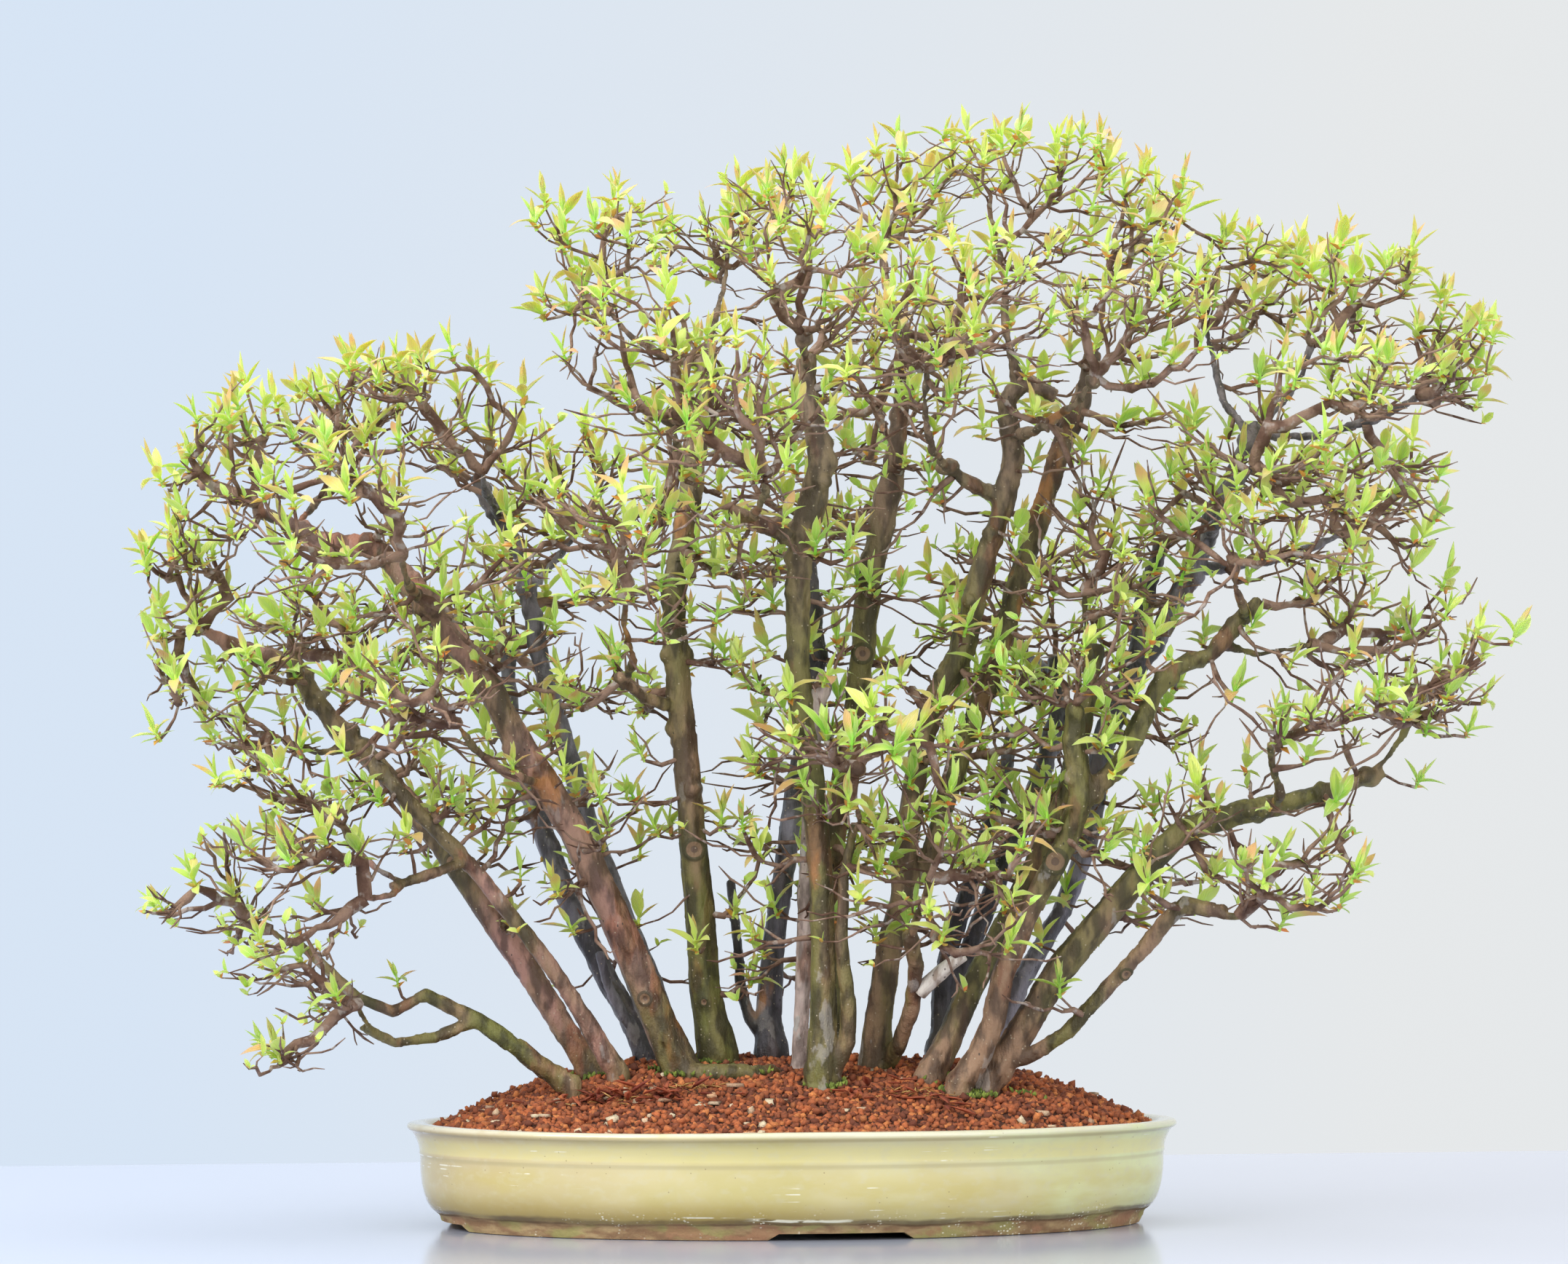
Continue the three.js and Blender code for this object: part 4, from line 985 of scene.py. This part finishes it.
def leaf_place(base, axis, around, lean, size):
    """The place of a blade that leaves its tuft's axis at an angle, with its face turned in and up."""
    out = axis.orthogonal().normalized()
    out.rotate(Matrix.Rotation(around, 3, axis))
    along = axis * math.cos(lean) + out * math.sin(lean)
    face = axis * math.sin(lean) - out * math.cos(lean)
    face.rotate(Matrix.Rotation(chance.uniform(-0.35, 0.35), 3, along))
    side = along.cross(face)
    turned = Matrix((side, along, face)).transposed().to_4x4()
    width = size * chance.uniform(0.85, 1.15)
    return Matrix.Translation(base) @ turned @ Matrix.Diagonal((width, size, size, 1))


def add_tuft(base, axis, leaves, full=True):
    """Adds one tuft of leaves, with its green shoot and its bud scales, to the copies of each blade. A
    tuft that isn't full is a bud that has just opened."""
    vigour = min(chance.uniform(0.8, 1.15), (cad_box[1][2] - base.z) / 0.036)
    height = max(0.0, min(1.0, (base.z - 0.35) / 0.35))
    fresh = chance.random()
    around = chance.uniform(0, 6.28)
    kinds = [("scale", 0.0078, 0.85, 0.0)] * 2
    kinds += [("small", 0.0112, 0.90, 0.0015)] * chance.choice((2, 2, 3))
    kinds += [("outer", 0.0230, 0.58, 0.0050)] * chance.choice((2, 3, 3))
    kinds += [("slim", 0.0182, 0.22, 0.0088)] * chance.choice((2, 2, 3))
    kinds += [("shoot", 0.0128, 0.0, 0.0)]
    if not full:
        kinds = [("scale", 0.0045, 0.4, 0.0), ("small", 0.0085, 0.45, 0.0), ("small", 0.0110, 0.3, 0.001)]
    for kind, length, lean, rise in kinds:
        around += 2.4 + chance.uniform(-0.35, 0.35)
        spot = base + axis * rise * vigour * chance.uniform(0.7, 1.3)
        size = length * vigour * (1 if kind == "shoot" else chance.uniform(0.78, 1.18))
        place = leaf_place(spot, axis, around, lean * chance.uniform(0.55, 1.35), size)
        bronzed = kind in ("outer", "slim") and chance.random() < 0.34 + 0.42 * height
        own = chance.uniform(0.45, 1) if bronzed else chance.uniform(0, 0.12)
        scale = chance.uniform(0.5, 1) if kind == "scale" else 0
        tone = (min(1.0, max(0.0, fresh + chance.uniform(-0.35, 0.35))), own, scale)
        places, tones = leaves.setdefault((kind, chance.randrange(len(BLADES[kind]))), ([], []))
        places.append(place)
        tones.append(tone)


def grow_spray(number, ends, spur_count, replaced):
    """Grows one group of twigs with its leaves."""
    points, parents, thin, tips, bare_tips = grow_twigs(ends, spur_count)
    twigs = twig_piece(f"twigs_{number:02d}", points, parents, thin)
    leaves = {}
    for tip in tips:
        growth = (points[tip] - points[parents[tip]]).normalized()
        outward = (points[tip] - CROWN_MIDDLE).normalized()
        add_tuft(points[tip], (Vector((0, 0, 1)) + 0.30 * growth + 0.22 * outward).normalized(), leaves)
    for tip in bare_tips:
        if chance.random() < BUD_SHARE:
            growth = (points[tip] - points[parents[tip]]).normalized()
            add_tuft(points[tip], (Vector((0, 0, 1.2)) + growth).normalized(), leaves, full=False)
    batches = [(BLADES[kind][variant], *leaves[kind, variant]) for kind, variant in sorted(leaves)]
    foliage = many(f"foliage_{number:02d}", batches, leaf)
    picked(foliage)
    bpy.ops.object.shade_smooth_by_angle(angle=math.radians(60))
    for piece, slot in ((twigs, "bark"), (foliage, "leaf")):
        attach(piece, "root")
        if replaced:
            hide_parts(replaced)


def in_spray(middle, half):
    """A place in the rounded space of a spray, most often far out and high up."""
    way = any_way()
    if chance.random() < 0.4:
        way.z = abs(way.z)
    return middle + Vector([d * h for d, h in zip(way, half)]) * chance.random() ** 0.3


def by_wood(wood):
    """A place a short way from a stem's free wood."""
    way = (any_way() + Vector((0, 0, 0.35))).normalized()
    return chance.choice(wood) + way * chance.uniform(0.012, SHOOT_REACH)


for number, name in enumerate(SPRAYS, start=1):
    low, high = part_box(name)
    middle = (low + high) / 2 - Vector((0, 0, 0.008))
    half = (high - low) / 2 * SPRAY_SPREAD
    vigour = min(1.25, 0.35 + max(0.0, middle.z - 0.15) / 0.5)
    ends = scattered(round(TUFTS_PER_SPRAY * vigour), TUFT_SPACING, lambda: in_spray(middle, half))
    grow_spray(number, ends, SPURS_PER_SPRAY, name)

for number, name in enumerate(STEMS, start=42):
    wood = [point for point in wood_points[name] if point.z > SHOOTS_FROM]
    wanted = round(len(wood) * TUFTS_PER_WOOD_POINT)
    if wanted:
        ends = scattered(wanted, TUFT_SPACING, lambda: by_wood(wood))
        grow_spray(number, ends, round(SPURS_PER_TUFT * wanted), None)

# Dead stub. The pale dry stump of a lost bough stands out from the side of a trunk right of the middle.
# Its foot is grown into the trunk, and its bark is gone.
STUB_FROM = Vector((0.0668, -0.0403, 0.1575))
STUB_TO = Vector((0.0966, -0.050, 0.183))
cone = {"vertices": 20, "radius1": 0.0055, "radius2": 0.0042, "depth": 1, "calc_uvs": False}
stub = ready_made(bpy.ops.mesh.primitive_cone_add, **cone)
stub.name = "dead_stub"
stub.data.transform(Matrix.Diagonal((1, 1, (STUB_TO - STUB_FROM).length, 1)))
stub.data.transform((STUB_TO - STUB_FROM).to_track_quat("Z", "Y").to_matrix().to_4x4())
stub.data.transform(Matrix.Translation((STUB_FROM + STUB_TO) / 2))
rounded = stub.modifiers.new("rounded", "BEVEL")
rounded.width = 0.0008
rounded.segments = 2
bpy.ops.object.modifier_apply(modifier="rounded")
bpy.ops.object.mode_set(mode="EDIT")
bpy.ops.mesh.select_all(action="SELECT")
bpy.ops.mesh.subdivide(number_cuts=3)
bpy.ops.object.mode_set(mode="OBJECT")
for corner in stub.data.vertices:
    corner.co += noise.noise_vector(corner.co * 160) * 0.0011
bpy.ops.object.shade_smooth_by_angle(angle=math.radians(50))
dry_wood, tree, shader, place = start_material("dry_wood", 0.8)
tint = blended(tree, clouded(tree, place, 160, 0.4, 0.6, (1, 1, 0.4)), (0.36, 0.28, 0.22), (0.74, 0.68, 0.60))
tint = laid(tree, tint, specked(tree, place, 380, 0.4, 0.12), 0.8, (0.08, 0.05, 0.04))
joined_to(tree, tint, shader.inputs["Base Color"])
raised(tree, shader, clouded(tree, place, 500, 0, 1, (1, 1, 0.3)), 0.0006)
stub.data.materials.append(dry_wood)
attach(stub, "root")

# Litter and moss. Shreds of old red-brown root and golden fibre lie on the soil by the front trunks, and
# green moss sits round some of their feet.
# Each patch of litter's kind, middle, spread and number of shreds.
LITTER_PLACES = [
    ("red", (-0.112, -0.075), 0.024, 46),
    ("red", (-0.150, -0.070), 0.016, 16),
    ("gold", (-0.085, -0.062), 0.012, 26),
    ("gold", (-0.134, -0.080), 0.010, 14),
    ("gold", (0.062, -0.072), 0.014, 34),
    ("red", (0.055, -0.078), 0.030, 30),
]
MOSS_FEET = ["stem_02", "stem_05", "stem_07", "stem_10", "stem_11", "stem_14", "stem_15", "stem_17"]
MOSS_BLADES = 130

litter_look, tree, shader, place = start_material("litter", 0.75)
gold, light = tone_of(tree)[:2]
tint = blended(tree, light, (0.20, 0.036, 0.020), (0.52, 0.135, 0.060))
tint = blended(tree, gold, tint, blended(tree, light, (0.40, 0.20, 0.045), (0.78, 0.50, 0.17)))
joined_to(tree, tint, shader.inputs["Base Color"])
raised(tree, shader, clouded(tree, place, 700, 0, 1, (1, 0.3, 1)), 0.0004)

moss_look, tree, shader, place = start_material("moss", 0.85)
tint = blended(tree, tone_of(tree)[1], (0.060, 0.090, 0.014), (0.26, 0.33, 0.050))
joined_to(tree, tint, shader.inputs["Base Color"])

shreds = {}
for kind, (x, y), spread, count in LITTER_PLACES:
    for _ in range(count):
        point = soil_under(x + chance.gauss(0, spread), y + chance.gauss(0, 0.35 * spread))
        if point is None:
            continue
        length = chance.uniform(0.008, 0.022) if kind == "red" else chance.uniform(0.005, 0.011)
        width = length * (1.1 if kind == "red" else 0.4)
        turn = turned_flat() @ Matrix.Rotation(chance.uniform(-0.3, 0.5), 3, "X").to_quaternion()
        point.z += chance.uniform(0.002, 0.005)
        places, tones = shreds.setdefault(chance.randrange(2), ([], []))
        places.append(placed(point, turn, (width, length, length)))
        tones.append((1 if kind == "gold" else 0, chance.random(), 0))
batches = [(BLADES["slim"][variant], *shreds[variant]) for variant in sorted(shreds)]
litter = many("litter", batches, litter_look)
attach(litter, "root")

tufts = ([], [])
for name in MOSS_FEET:
    feet = [point for point in wood_points[name] if SOIL_TOP - 0.030 < point.z < SOIL_TOP + 0.004]
    side = chance.uniform(0, 6.28)
    for _ in range(MOSS_BLADES if feet else 0):
        foot = chance.choice(feet)
        ground = soil_under(foot.x + chance.gauss(0, 0.002), foot.y - abs(chance.gauss(0, 0.003)))
        spot = Vector((foot.x, foot.y, foot.z)) if ground is None else ground + Vector((0, 0, 0.0015))
        if noise.noise(spot * 60 + Vector((side, 0, 0))) < -0.12:
            continue
        up_way = (any_way() * 0.6 + Vector((0, -0.2, 1))).normalized()
        turn = Vector((0, 1, 0)).rotation_difference(up_way)
        tufts[0].append(placed(spot, turn, (0.0042, 0.0038 * chance.uniform(0.7, 1.4), 0.0042)))
        tufts[1].append((0, chance.random(), 0))
moss = many("moss", [(BLADES["scale"][0], *tufts)], moss_look)
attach(moss, "root")
